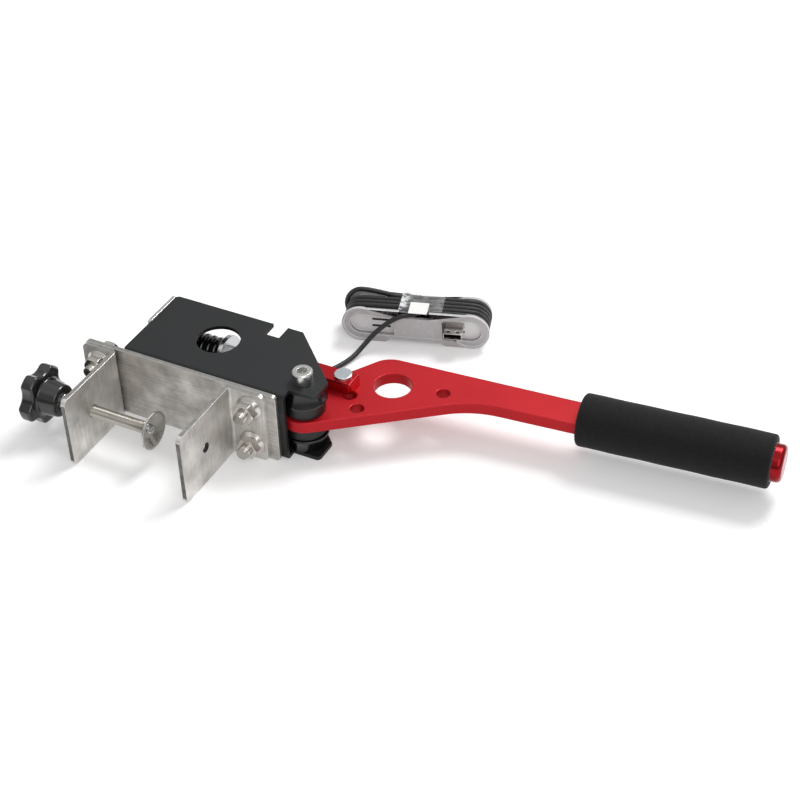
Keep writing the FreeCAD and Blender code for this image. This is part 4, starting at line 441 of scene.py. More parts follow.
@dataclass(frozen=True)
class Sheath(Finish):
    """Cable sheath: fine diagonal ribs that follow the cable, with a satin gloss."""

    roughness: float = 0.34
    ribs_along: float = 820.0
    coordinates: ClassVar[Coordinates] = Coordinates.UV

    def paint(self, graph: Graph) -> None:
        """Fills the graph. The ribs are the sine of a sum of the place along and around the cable."""
        inputs = {"Scale": 1.0, "Distortion": 0.0, "Vector": graph.stretched((self.ribs_along, 2.0, 1.0))}
        ribs = graph.node("TexWave", inputs, bands_direction="DIAGONAL").outputs["Fac"]
        self.vary(graph, ribs, (0.45, 1.6), ribs, (0.12, 0.0))
        graph.bump(ribs, 0.00009)


@dataclass(frozen=True)
class Finishes:
    """Every finish of the handbrake."""

    housing: Finish = Coat("housing powder coat", (0.0082, 0.0090, 0.0100), 0.46)
    # Lighter colour on the housing's rounded edges: a painted highlight, the edges catching the light.
    housing_edge_highlight: Finish = Coat("housing painted edge highlight", (0.045, 0.046, 0.048), 0.32, 0.6)
    plate: Finish = Rolled("stainless plate", (0.60, 0.575, 0.545), 0.34, Axis.X, 65.0, 0.45)
    bracket: Finish = Rolled("stainless bracket", (0.72, 0.70, 0.675), 0.44, Axis.Z, 80.0, 0.3)
    sheared: Finish = Rolled("sheared stainless edge", (0.40, 0.39, 0.375), 0.36, Axis.X, 260.0, 0.35)
    sheared_end: Finish = Rolled("sheared jaw end", (0.17, 0.165, 0.16), 0.36, Axis.Z, 260.0, 0.5)
    bore: Finish = Plated("shaded bore", (0.05, 0.05, 0.05), 0.4)
    stainless_edge: Finish = Plated("stainless edge", (0.58, 0.57, 0.55), 0.34)
    pad: Finish = Plated("clamp pad steel", (0.50, 0.48, 0.45), 0.27)
    nut: Finish = Plated("stainless nut", (0.60, 0.575, 0.54), 0.2)
    zinc: Finish = Plated("zinc plated steel", (0.60, 0.61, 0.62))
    thread: Finish = Plated("threaded steel", (0.44, 0.42, 0.385), 0.22)
    pin_head: Finish = Plated("clevis pin steel", (0.56, 0.61, 0.64), 0.3)
    pivot: Finish = Plated("pivot bolt steel", (0.62, 0.62, 0.61), 0.24)
    black_steel: Finish = Glossy("black oxide steel", (0.012, 0.012, 0.013), 0.3, 0.4, 0.1)
    spring: Finish = Glossy("spring enamel", (0.004, 0.004, 0.0045), 0.14, 0.0, 0.5)
    collar: Finish = Glossy("collar plastic", (0.0035, 0.0035, 0.004), 0.2, 0.0, 0.15)
    washer: Finish = Moulded("washer plastic", (0.006, 0.006, 0.0065), 0.5)
    knob: Finish = Glossy("knob plastic", (0.0025, 0.0025, 0.0028), 0.16, 0.0, 0.5)
    red: Finish = Anodised("red anodised plate", (0.455, 0.008, 0.014), 0.4, 0.35)
    # Lighter red on the rounded edges of the lever, its cap and the clevis: a painted highlight, the edges
    # catching the light.
    red_edge_highlight: Finish = Anodised("red anodised painted edge highlight", (0.60, 0.03, 0.04), 0.3, 0.5, 0.5)
    # The clevis's red is glossier and a little lighter than the lever's. The lighter red is partly painted
    # light, for its brightly lit end face.
    red_gloss_painted_light: Finish = Anodised("red anodised turned part, painted lighter", (0.50, 0.006, 0.012), 0.2, 0.75, 0.5)
    cap: Finish = Anodised("red end cap", (0.27, 0.004, 0.008), 0.16, 0.8, 0.5)
    foam: Finish = Foam("grip foam", (0.0032, 0.0032, 0.0035))
    turned: Finish = Brushed("turned aluminium", (0.70, 0.71, 0.72), 0.3, Axis.Y)
    bronze: Finish = Plated("bush bronze", (0.55, 0.36, 0.16), 0.34)
    case: Finish = Moulded("sensor case plastic", (0.012, 0.012, 0.013))
    board: Finish = Moulded("circuit board lacquer", (0.015, 0.14, 0.05), 0.35)
    cable: Finish = Sheath("cable sheath", (0.0075, 0.0075, 0.008))
    plug: Finish = Moulded("plug overmould", (0.012, 0.012, 0.013), 0.5)
    shell: Finish = Plated("plug shell steel", (0.66, 0.64, 0.61), 0.2)
    frosted: Finish = Frosted("winder plastic", (0.50, 0.505, 0.51), 0.26)
    # The winder's trays are the same plastic as the rest in other tones: paler on their floors, painted
    # light, and darker on their walls, painted shade.
    frosted_tray_painted_light: Finish = Frosted("winder tray floor painted light", (0.80, 0.805, 0.81), 0.3)
    frosted_wall_painted_shade: Finish = Frosted("winder tray wall painted shade", (0.33, 0.335, 0.34), 0.22)
    # Near-white on the winder's rounded rims: a painted highlight.
    frosted_rim_painted_highlight: Finish = Frosted("winder rim painted highlight", (0.92, 0.92, 0.93), 0.18)
    # Dark slabs in the trays' slots: painted shade for the slots' depth and for the dark winding seen
    # through them.
    slot: Finish = Moulded("winder slot painted shade", (0.010, 0.010, 0.011), 0.7)
    tape: Finish = ClearFilm("winder tape film", (0.95, 0.96, 0.97))
    paper: Finish = Moulded("tag paper", (0.80, 0.80, 0.79), 0.7)


def level_faces(centres: np.ndarray, normals: np.ndarray) -> np.ndarray:
    """Faces of a bent plate that look up or down: its long cut edges."""
    return np.abs(normals[:, 2]) > LOOKING


def tip_faces(centres: np.ndarray, normals: np.ndarray) -> np.ndarray:
    """Faces at the end of a jaw, the cut edge that looks away from the housing."""
    return (normals[:, 1] < -LOOKING) & (centres[:, 1] < centres[:, 1].min() + 0.0001)


def bore_faces(centres: np.ndarray, normals: np.ndarray) -> np.ndarray:
    """Faces inside the hole on the clamp's axis."""
    near = np.hypot(centres[:, 1] - Clamp.screw_y, centres[:, 2] - Clamp.screw_z) < Clamp.jaw_bore
    return near & (np.abs(normals[:, 0]) < RUNNING)


def tray_faces(centres: np.ndarray) -> np.ndarray:
    """Faces of the cable winder behind its front and before its back flange."""
    depth = in_winder(centres)[:, 1] * 1000.0 - CableSet.winder_face
    front, back = CableSet.tray_reach
    return (depth > front) & (depth < back)


def tray_walls_painted_shade(centres: np.ndarray, normals: np.ndarray) -> np.ndarray:
    """Faces of the cable winder that run from its front to the trays' floors. They get a darker colour than
    the rest of the winder: painted shade.
    """
    return tray_faces(centres) & (np.abs(in_winder(normals)[:, 1]) < SLANTED)


def tray_floors_painted_light(centres: np.ndarray, normals: np.ndarray) -> np.ndarray:
    """Faces at the bottom of the cable winder's trays. They get a paler colour than the rest of the winder:
    painted light.
    """
    return tray_faces(centres) & (in_winder(normals)[:, 1] < -SLANTED)


def put(name: str, data: bpy.types.ID) -> Piece:
    """Puts something in the scene.

    Args:
        name: Its name there.
        data: A mesh, curve, lamp or camera.

    Returns:
        The object that carries it.
    """
    piece = bpy.data.objects.new(name, data)
    bpy.context.scene.collection.objects.link(piece)
    return piece


class Dresser:
    """Puts finishes on CAD nodes and makes the bevelled copies that stand for them."""

    def __init__(self) -> None:
        """Remembers each finish that it has built."""
        self.built: dict[str, bpy.types.Material] = {}

    def material(self, finish: Finish) -> bpy.types.Material:
        """The finish's material, built once."""
        if finish.name not in self.built:
            self.built[finish.name] = finish.material()
        return self.built[finish.name]

    def dress(self, finish: Finish, *nodes: str) -> None:
        """Gives CAD nodes that stay in view a finish.

        Args:
            finish: The finish.
            nodes: The nodes' names.
        """
        for name in nodes:
            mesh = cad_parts[name].data
            mesh.materials.clear()
            mesh.materials.append(self.material(finish))

    def bevelled(self, node: str, finish: Finish, edge: Finish | None = None, width: float = EDGE_WIDTH,
                 body: str = "frame", zones: tuple[tuple[Finish, Zone], ...] = ()) -> Piece:
        """A copy of a CAD node with its sharp edges rounded, which stands for the node.

        Args:
            node: The CAD node.
            finish: Finish of its faces.
            edge: Finish of its rounded edges, where it differs.
            width: Width of the rounded edge in metres.
            body: The body that it rides on.
            zones: Other finishes, each with the function that picks its faces.

        Returns:
            The new piece.
        """
        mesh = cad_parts[node].data.copy()
        shape = bmesh.new()
        shape.from_mesh(mesh)
        bmesh.ops.remove_doubles(shape, verts=shape.verts, dist=SAME_POINT)
        bmesh.ops.dissolve_limit(
            shape, angle_limit=FLAT_ANGLE, verts=shape.verts, edges=shape.edges, delimit=set())
        shape.to_mesh(mesh)
        shape.free()
        mesh.materials.clear()
        for each in (finish, edge or finish, *(other for other, _ in zones)):
            mesh.materials.append(self.material(each))
        chosen = np.zeros(len(mesh.polygons), np.int32)
        centres, normals = np.empty((2, len(mesh.polygons), 3))
        mesh.polygons.foreach_get("center", centres.ravel())
        mesh.polygons.foreach_get("normal", normals.ravel())
        for slot, (_, picks) in enumerate(zones, 2):
            chosen[picks(centres, normals)] = slot
        mesh.polygons.foreach_set("material_index", chosen)
        piece = self.place(node + "_look", mesh, body)
        self.round_edges(piece, width)
        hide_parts(node)
        return piece

    def place(self, name: str, mesh: bpy.types.Mesh, body: str) -> Piece:
        """Puts a mesh in the scene.

        Args:
            name: The piece's name.
            mesh: Its mesh.
            body: The body that it rides on.

        Returns:
            The new piece.
        """
        piece = put(name, mesh)
        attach(piece, body)
        log.info("%s on %s", name, body)
        return piece

    def round_edges(self, piece: Piece, width: float, angle: float = EDGE_ANGLE) -> None:
        """Rounds a piece's sharp edges with its second finish and keeps its flat faces even.

        Args:
            piece: The piece.
            width: Width of the rounded edge in metres.
            angle: Edges that turn by more than this many degrees are rounded.
        """
        bevel = piece.modifiers.new("rounded edges", "BEVEL")
        bevel.width = width
        bevel.segments = 2
        bevel.limit_method = "ANGLE"
        bevel.angle_limit = math.radians(angle)
        bevel.material = 1
        bevel.use_clamp_overlap = True
        piece.data.shade_smooth()
        piece.data.set_sharp_from_angle(angle=math.radians(angle))
        normals = piece.modifiers.new("even shading", "WEIGHTED_NORMAL")
        normals.keep_sharp = True

    def add(self, name: str, surface: Surface, finish: Finish, edge: Finish | None = None,
            width: float = EDGE_WIDTH, angle: float = EDGE_ANGLE, body: str = "frame") -> Piece:
        """A new piece.

        Args:
            name: The piece's name.
            surface: Its points and faces.
            finish: Finish of its faces.
            edge: Finish of its rounded edges; without it the edges stay as they are.
            width: Width of the rounded edge in metres.
            angle: Edges that turn by more than this many degrees are rounded.
            body: The body that it rides on.

        Returns:
            The new piece.
        """
        points, faces = surface
        mesh = bpy.data.meshes.new(name)
        mesh.from_pydata(points.tolist(), [], faces)
        mesh.materials.append(self.material(finish))
        mesh.shade_smooth()
        mesh.set_sharp_from_angle(angle=SMOOTH_ANGLE)
        piece = self.place(name, mesh, body)
        if edge:
            mesh.materials.append(self.material(edge))
            self.round_edges(piece, width, angle)
        return piece


def grid_faces(rows: int, columns: int, closed: bool) -> list[tuple[int, ...]]:
    """Quads over a grid of points, row by row. closed joins the last column to the first.

    Args:
        rows: Number of rows.
        columns: Number of points in a row.
        closed: Whether the rows are rings.

    Returns:
        Corner indices of each face.
    """
    row, column = np.meshgrid(
        np.arange(rows - 1) * columns, np.arange(columns if closed else columns - 1), indexing="ij")
    after = (column + 1) % columns
    corners = np.stack([row + column, row + after, row + columns + after, row + columns + column], -1)
    return [tuple(face) for face in corners.reshape(-1, 4).tolist()]


def rings(along: np.ndarray, radius: np.ndarray, angle: np.ndarray) -> np.ndarray:
    """Points of rings: distance along the first axis, and radius times the cosine and sine of the angle."""
    first, second = radius * np.cos(angle), radius * np.sin(angle)
    return np.stack([np.broadcast_to(along, first.shape), first, second], -1).reshape(-1, 3)


def ring_faces(rows: int, sides: int) -> list[tuple[int, ...]]:
    """Faces over rings of points, of which the last joins the first.

    Args:
        rows: Number of rings.
        sides: Points of a ring.

    Returns:
        Corner indices of each face.
    """
    ring = np.arange(sides)
    after = (ring + 1) % sides
    last = (rows - 1) * sides
    close = np.stack([last + ring, last + after, after, ring], -1)
    return grid_faces(rows, sides, True) + [tuple(face) for face in close.tolist()]


def full_turn(sides: int) -> np.ndarray:
    """Angles of a ring's points, in radians."""
    return np.linspace(0.0, 2.0 * np.pi, sides, endpoint=False)


def capped(rows: int, columns: int) -> list[tuple[int, ...]]:
    """Faces of a closed tube of rings, with one face on each end.

    Args:
        rows: Number of rings.
        columns: Points of a ring.

    Returns:
        Corner indices of each face.
    """
    first = tuple(range(columns))[::-1]
    last = tuple(range((rows - 1) * columns, rows * columns))
    return grid_faces(rows, columns, True) + [first, last]


def turned(profile: np.ndarray, axis: Axis, middle: Point, sides: int = 96) -> Surface:
    """Surface of revolution. Each ring is the profile's distance along the axis plus its radius times the
    cosine and sine of the angle, in the two directions that follow the axis in turn. The last ring joins
    the first.

    Args:
        profile: Distance along the axis and radius, one pair in a row, closed by its last pair.
        axis: Axis of the turning.
        middle: A point on the axis.
        sides: Points of a ring.

    Returns:
        The points and the faces.
    """
    local = rings(profile[:, 0:1], profile[:, 1:2], full_turn(sides))
    return np.roll(local, axis.value, axis=1) + np.array(middle), ring_faces(len(profile), sides)


def arc(middle: tuple[float, float], radius: float, start: float, end: float, count: int = 7) -> np.ndarray:
    """Points of an arc in a plane, from one angle in degrees to another."""
    angle = np.radians(np.linspace(start, end, count))
    return np.stack([middle[0] + radius * np.cos(angle), middle[1] + radius * np.sin(angle)], -1)


def slab(outline: np.ndarray, start: float, end: float, axis: Axis) -> Surface:
    """Flat piece: an outline drawn out along an axis.

    Args:
        outline: Its corners, anticlockwise in the two directions that follow the axis in turn.
        start: Where it begins on the axis.
        end: Where it ends on the axis.
        axis: The axis.

    Returns:
        The points and the faces.
    """
    count = len(outline)
    levels = np.repeat([start, end], count)[:, None]
    local = np.hstack([levels, np.vstack([outline, outline])])
    return np.roll(local, axis.value, axis=1), capped(2, count)


def joined(surfaces: list[Surface]) -> Surface:
    """Several surfaces as one.

    Args:
        surfaces: Points and faces of each.

    Returns:
        All points and all faces.
    """
    points: list[np.ndarray] = []
    faces: list[tuple[int, ...]] = []
    total = 0
    for some_points, some_faces in surfaces:
        faces += [tuple(corner + total for corner in face) for face in some_faces]
        points.append(some_points)
        total += len(some_points)
    return np.concatenate(points), faces


def tube(path: np.ndarray, radius: np.ndarray | float, sides: int) -> Surface:
    """Round tube along a path. Each ring is the path's point plus radius times the cosine and sine of the
    angle along two directions square to the path, which are carried from ring to ring without twist.

    Args:
        path: Points of the path, one in a row.
        radius: One radius, or one for each point.
        sides: Points of a ring.

    Returns:
        The points and the faces.
    """
    ways = np.gradient(path, axis=0)
    ways /= np.linalg.norm(ways, axis=1, keepdims=True)
    side = np.empty_like(path)
    start = np.cross(ways[0], (0.0, 0.0, 1.0))
    if np.linalg.norm(start) < 1e-6:
        start = np.array((1.0, 0.0, 0.0))
    side[0] = start / np.linalg.norm(start)
    for step in range(1, len(path)):
        carried = side[step - 1] - ways[step] * side[step - 1].dot(ways[step])
        side[step] = carried / np.linalg.norm(carried)
    other = np.cross(ways, side)
    angle = full_turn(sides)[None, :, None]
    size = np.broadcast_to(np.asarray(radius, float).reshape(-1, 1, 1), (len(path), 1, 1))
    ring = side[:, None, :] * np.cos(angle) + other[:, None, :] * np.sin(angle)
    points = (path[:, None, :] + size * ring).reshape(-1, 3)
    return points, capped(len(path), sides)


def upright_turn(points: np.ndarray, angle: float) -> np.ndarray:
    """Points turned about the upright axis through the origin.

    Args:
        points: One point in a row.
        angle: Angle in radians, anticlockwise from above.

    Returns:
        The turned points.
    """
    cosine, sine = math.cos(angle), math.sin(angle)
    x, y, z = points.T
    return np.stack([x * cosine - y * sine, x * sine + y * cosine, z], -1)


def place_in_winder(points: np.ndarray) -> np.ndarray:
    """Turns points from the winder's own directions into the frame."""
    return upright_turn(points, WINDER_ANGLE)


def in_winder(points: np.ndarray) -> np.ndarray:
    """Turns points from the frame into the winder's own directions."""
    return upright_turn(points, -WINDER_ANGLE)


def in_metres(surface: Surface) -> Surface:
    """A surface given in millimetres in the winder's own directions, in the frame."""
    points, faces = surface
    return place_in_winder(points / 1000.0), faces


def points_of(piece: Piece) -> np.ndarray:
    """A piece's points, in the winder's own directions."""
    points = np.empty(len(piece.data.vertices) * 3)
    piece.data.vertices.foreach_get("co", points)
    return in_winder(points.reshape(-1, 3))


def move_points(piece: Piece, points: np.ndarray) -> None:
    """Gives a piece new points, in the winder's own directions."""
    piece.data.vertices.foreach_set("co", place_in_winder(points).ravel())


@dataclass
class Thread:
    """A rod with a real thread, along X or Y."""

    axis: Axis
    start: float
    end: float
    across: tuple[float, float]
    radius: float = 0.004
    pitch: float = 0.00125
    depth: float = 0.00062
    steep: float = 1.3
    flat: float = 0.15
    sides: int = 36
    rows_in_pitch: int = 8

    def surface(self) -> Surface:
        """Rings whose radius falls from the crest by the depth times a triangle wave of the distance along
        the rod in pitches minus the share of a turn. The wave is made steeper and cut flat at its crests
        and roots. The thread fades out over half a pitch at its ends.

        Returns:
            The points and the faces.
        """
        length = self.end - self.start
        rows = int(length / self.pitch * self.rows_in_pitch) + 1
        along = np.linspace(0.0, length, rows)
        angle = full_turn(self.sides)
        phase = along[:, None] / self.pitch - angle[None, :] / (2.0 * np.pi)
        wave = np.abs((phase % 1.0) * 2.0 - 1.0)
        wave = np.clip(wave * self.steep - self.flat, 0.0, 1.0)
        fade = np.clip(np.minimum(along, length - along) / (self.pitch * 0.5), 0.0, 1.0)
        chamfer = (1.0 - fade[:, None]) * self.depth
        radius = self.radius - self.depth * wave * fade[:, None] - chamfer
        local = rings(self.start + along[:, None], radius, angle)
        middle = np.insert(self.across, self.axis.value, 0.0)
        return np.roll(local, self.axis.value, axis=1) + middle, capped(rows, self.sides)


@dataclass
class SubAssembly:
    """What every sub-assembly works with."""

    dresser: Dresser
    finishes: Finishes

    def build(self) -> None:
        """Makes and dresses the pieces. Each sub-assembly has its own way."""
        raise NotImplementedError


@dataclass
class Housing(SubAssembly):
    """Folded channel, end plate, pivot stack and the sensor inside."""

    plate_near: float = 0.012
    plate_far: float = 0.0429
    plate_corner: float = 0.002
    height: float = 0.05
    screw_columns: tuple[float, float] = (0.0195, 0.0373)
    screw_rows: tuple[float, float] = (0.0052, 0.0448)
    head_radius: float = 0.0035
    head_high: float = 0.0028
    head_dome: float = 0.7
    head_middle: float = 0.0002
    head_sunk: float = 0.0004
    collar_wide: float = 0.0145
    collar_narrow: float = 0.0116
    collar_rim: float = 0.0013
    collar_flare: float = 1.7
    bore: float = 0.0042

    def build(self) -> None:
        """Dresses every piece of the housing."""
        dresser, finishes = self.dresser, self.finishes
        dresser.bevelled("housing_channel", finishes.housing, finishes.housing_edge_highlight, 0.00028)
        for washer in ("upper_washer", "lower_washer"):
            dresser.bevelled(washer, finishes.washer, width=0.0005)
        dresser.bevelled("pivot_bolt", finishes.pivot, finishes.stainless_edge, 0.0002)
        dresser.bevelled("sensor_case", finishes.case)
        dresser.bevelled("sensor_lid", finishes.case, width=0.0004)
        dresser.dress(
            finishes.zinc, "end_plate_screws", "pivot_nut", "sensor_case_screws", "sensor_lid_screws")
        dresser.dress(finishes.board, "circuit_board")
        dresser.dress(finishes.plug, "cable_gland")
        self.end_plate()
        for name, far_up in (("upper_collar", True), ("lower_collar", False)):
            self.collar(name, far_up)

    def end_plate(self) -> None:
        """The bright plate on the two tabs, with its corners rounded, and the pan heads of its screws."""
        low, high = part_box("end_plate")
        dresser, finishes, turn = self.dresser, self.finishes, self.plate_corner
        near, far = self.plate_near + turn, self.plate_far - turn
        foot, top = turn, self.height - turn
        corners = ((far, foot, -90.0), (far, top, 0.0), (near, top, 90.0), (near, foot, 180.0))
        outline = np.concatenate([arc((y, z), turn, start, start + 90.0) for y, z, start in corners])
        surface = slab(outline, low.x, high.x, Axis.X)
        plate = dresser.add("end_plate_sheet", surface, finishes.zinc, finishes.stainless_edge)
        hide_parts("end_plate")
        curve = np.radians(np.linspace(0.0, 90.0, 8))
        along = low.x - self.head_high * np.cos(curve)
        head = np.stack([along, self.head_radius * np.sin(curve) ** self.head_dome], -1)
        head[0, 1] = self.head_middle
        sunk = low.x + self.head_sunk
        profile = np.concatenate([head, [[sunk, self.head_radius], [sunk, self.head_middle]]])
        places = [(0.0, y, z) for y in self.screw_columns for z in self.screw_rows]
        heads = [turned(profile, Axis.X, place, 32) for place in places]
        dresser.add("end_plate_screw_heads", joined(heads), finishes.zinc)

    def collar(self, name: str, far_up: bool) -> None:
        """Glossy ring that flares from the side plate to a rounded rim at the lever. Its radius grows from
        the narrow end with a power of the share of its height.

        Args:
            name: The CAD node.
            far_up: Whether the narrow end is the upper one.
        """
        low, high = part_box(name)
        share = np.linspace(0.0, 1.0, 14)
        rim, narrow, wide = self.collar_rim, self.collar_narrow, self.collar_wide
        tall = high.z - low.z
        radius = narrow + (wide - narrow) * share ** self.collar_flare
        flare = np.stack([tall - (tall - rim) * share, radius], -1)
        edge = arc((rim * 0.5, wide - rim * 0.5), rim * 0.5, 90.0, 180.0, 5)
        profile = np.concatenate([[[tall, self.bore]], flare, edge, [[0.0, self.bore]]])
        if far_up:
            profile = profile[::-1] + [low.z, 0.0]
        else:
            profile = [high.z, 0.0] + profile * [-1.0, 1.0]
        finish = self.finishes.collar
        surface = turned(profile, Axis.Z, (0.0, 0.0, 0.0))
        ring = self.dresser.add(name + "_flare", surface, finish, finish, angle=50.0)
        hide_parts(name)


@dataclass
class Clamp(SubAssembly):
    """Back plate, brackets, bolts, clamp screw with its knob, and the dished pad."""

    screw_y: float = -0.0545
    screw_z: float = 0.025
    rod_start: float = -0.158
    rod_end: float = -0.0801
    jaw_bore: float = 0.0048
    bolt_columns: tuple[float, float] = (-0.133, -0.0242)
    bolt_rows: tuple[float, float] = (0.0115, 0.0385)
    bolt_tip: float = -0.03815
    bolt_seat: float = -0.0300
    bolt_crest: float = 0.00406
    bolt_groove: float = 0.0004
    knob_start: float = -0.164
    knob_long: float = 0.022
    knob_rim: float = 0.0095
    knob_radius: float = 0.0195
    knob_lobes: int = 5
    knob_turn: float = 50.0
    scallop: float = 0.012
    scallop_out: float = 0.0276
    star_soft: float = 0.0006
    knob_round: float = 0.0024
    knob_fillet: float = 0.0016
    knob_tip: float = 0.002
    knob_sides: int = 160
    shoulder: float = 0.0121
    neck: float = 0.0106
    knob_bore: float = 0.0058
    knob_sunk: float = 0.004

    def build(self) -> None:
        """Dresses the clamp and cuts its threads."""
        dresser, finishes = self.dresser, self.finishes
        edge = finishes.stainless_edge
        sheared = (finishes.sheared, level_faces)
        dresser.bevelled("back_plate", finishes.plate, edge, 0.00025, zones=(sheared,))
        cut = (sheared, (finishes.sheared_end, tip_faces), (finishes.bore, bore_faces))
        for jaw in ("screw_jaw", "fixed_jaw"):
            dresser.bevelled(jaw, finishes.bracket, edge, 0.00025, zones=cut)
        dresser.bevelled("clamp_pad", finishes.pad, edge, 0.0002, "clamp_pad")
        for nut in ("flange_nuts", "jaw_nut"):
            dresser.bevelled(nut, finishes.nut, edge, 0.0002)
        self.shape_knob()
        dresser.bevelled("knob_insert", finishes.zinc, body="clamp_screw")
        dresser.bevelled("pad_screw", finishes.zinc, width=0.0002, body="clamp_screw")
        dresser.bevelled("mounting_bolts", finishes.nut, width=0.0002)
        self.cut_rod()
        self.cut_bolt_tips()

    def star(self, angle: np.ndarray) -> np.ndarray:
        """Distance of the knob's outline from its axis: a soft minimum of the outer circle and of the
        nearest scallop, a circle beside the knob, met by a ray in the angle's direction.

        Args:
            angle: Directions in radians.

        Returns:
            The distance in each direction.
        """
        step = 2.0 * np.pi / self.knob_lobes
        off = (angle - math.radians(self.knob_turn)) % step - step / 2.0
        under = self.scallop ** 2 - (self.scallop_out * np.sin(off)) ** 2
        meets = self.scallop_out * np.cos(off) - np.sqrt(np.clip(under, 0.0, None))
        meets = np.where(under > 0.0, meets, self.scallop_out)
        soft = self.star_soft
        return -soft * np.log(np.exp(-self.knob_radius / soft) + np.exp(-meets / soft))

    def shape_knob(self) -> None:
        """The star knob: rings on the star outline, drawn in over a quarter circle at both ends of the rim,
        then round rings down the back of the lobes and along a neck that narrows to a rounded end."""
        sides = self.knob_sides
        angle = full_turn(sides)
        star = self.star(angle)
        turn = np.radians(np.linspace(0.0, 90.0, 8))
        soft, rim = self.knob_round, self.knob_rim
        along = [soft * (1.0 - np.cos(turn)), rim - soft + soft * np.sin(turn)]
        inset = [soft * (1.0 - np.sin(turn)), soft * (1.0 - np.cos(turn))]
        outer = star[None, :] - np.concatenate(inset)[:, None]
        fillet, tip, end = self.knob_fillet, self.knob_tip, self.knob_long
        neck_along = np.concatenate([
            rim + fillet * (1.0 - np.cos(turn)), end - tip + tip * np.sin(turn),
            [end, end - self.knob_sunk]])
        neck_radius = np.concatenate([
            self.shoulder + fillet * (1.0 - np.sin(turn)), self.neck - tip * (1.0 - np.cos(turn)),
            [self.knob_bore, self.knob_bore]])
        radius = np.concatenate([outer, np.broadcast_to(neck_radius[:, None], (len(neck_radius), sides))])
        distance = self.knob_start + np.concatenate(along + [neck_along])[:, None]
        points = rings(distance, radius, angle) + [0.0, self.screw_y, self.screw_z]
        surface = points, capped(len(radius), sides)
        finish = self.finishes.knob
        knob = self.dresser.add("star_knob_body", surface, finish, finish, angle=55.0, body="clamp_screw")
        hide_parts("star_knob")

    def cut_rod(self) -> None:
        """The clamp screw with its thread, in place of the plain rod."""
        thread = Thread(Axis.X, self.rod_start, self.rod_end, (self.screw_y, self.screw_z))
        finish = self.finishes.thread
        rod = self.dresser.add("clamp_screw_thread", thread.surface(), finish, body="clamp_screw")
        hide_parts("clamp_screw")

    def cut_bolt_tips(self) -> None:
        """Short threads that sheathe the bolt ends beyond their nuts."""
        for column, x in enumerate(self.bolt_columns):
            for row, z in enumerate(self.bolt_rows):
                thread = Thread(
                    Axis.Y, self.bolt_tip, self.bolt_seat, (x, z), self.bolt_crest, depth=self.bolt_groove)
                name = "bolt_thread_%d_%d" % (column, row)
                self.dresser.add(name, thread.surface(), self.finishes.thread)


@dataclass
class LeverArm(SubAssembly):
    """Lever plate with its bush and magnet, the grip and its cap."""

    grip_start: tuple[float, float] = (0.1554, 0.0664)
    grip_angle: float = math.radians(5.5)
    grip_length: float = 0.118
    foam_radius: float = 0.0167
    foam_corner: float = 0.0022
    bore_radius: float = 0.01205
    softness: float = 0.00012
    waves: tuple[float, float] = (95.0, 210.0)
    axis_z: float = 0.025
    rows: int = 160
    sides: int = 96

    def build(self) -> None:
        """Dresses the lever and makes the foam."""
        dresser, finishes = self.dresser, self.finishes
        dresser.bevelled("lever", finishes.red, finishes.red_edge_highlight, 0.00018, "lever")
        dresser.bevelled("end_cap", finishes.cap, finishes.red_edge_highlight, 0.0004, "lever")
        dresser.dress(finishes.bronze, "pivot_bush")
        dresser.dress(finishes.zinc, "lever_magnet", "handle_pin")
        dresser.dress(finishes.turned, "grip_tube")
        self.foam_grip()

    def foam_grip(self) -> None:
        """The foam sleeve: a turned profile with rounded ends. From its bore outwards, its radius takes on
        waves of sines and cosines, a third of a millimetre at most, that a soft sleeve has on its tube."""
        length, outer, inner = self.grip_length, self.foam_radius, self.bore_radius
        corner = self.foam_corner
        run = np.linspace(corner, length - corner, self.rows)
        start = arc((corner, outer - corner), corner, 180.0, 90.0, 10)
        end = arc((length - corner, outer - corner), corner, 90.0, 0.0, 10)
        body = np.stack([run, np.full_like(run, outer)], -1)
        inside = np.array([[length, inner], [0.0, inner]])
        profile = np.concatenate([inside[1:], start, body[1:-1], end, inside[:1]])
        angle = full_turn(self.sides)
        along = profile[:, 0:1]
        slow, quick = (along * wave for wave in self.waves)
        soft = np.sin(slow) * np.cos(2.0 * angle) + 0.6 * np.sin(quick + 3.0 * angle)
        share = np.clip((profile[:, 1:2] - inner) / (outer - inner), 0.0, 1.0)
        radius = profile[:, 1:2] - share * self.softness * (1.0 + soft)
        local = rings(along, radius, angle)
        placed = upright_turn(local, self.grip_angle) + [*self.grip_start, self.axis_z]
        surface = placed, ring_faces(len(profile), self.sides)
        piece = self.dresser.add("foam_grip_sleeve", surface, self.finishes.foam, body="lever")
        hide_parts("foam_grip")


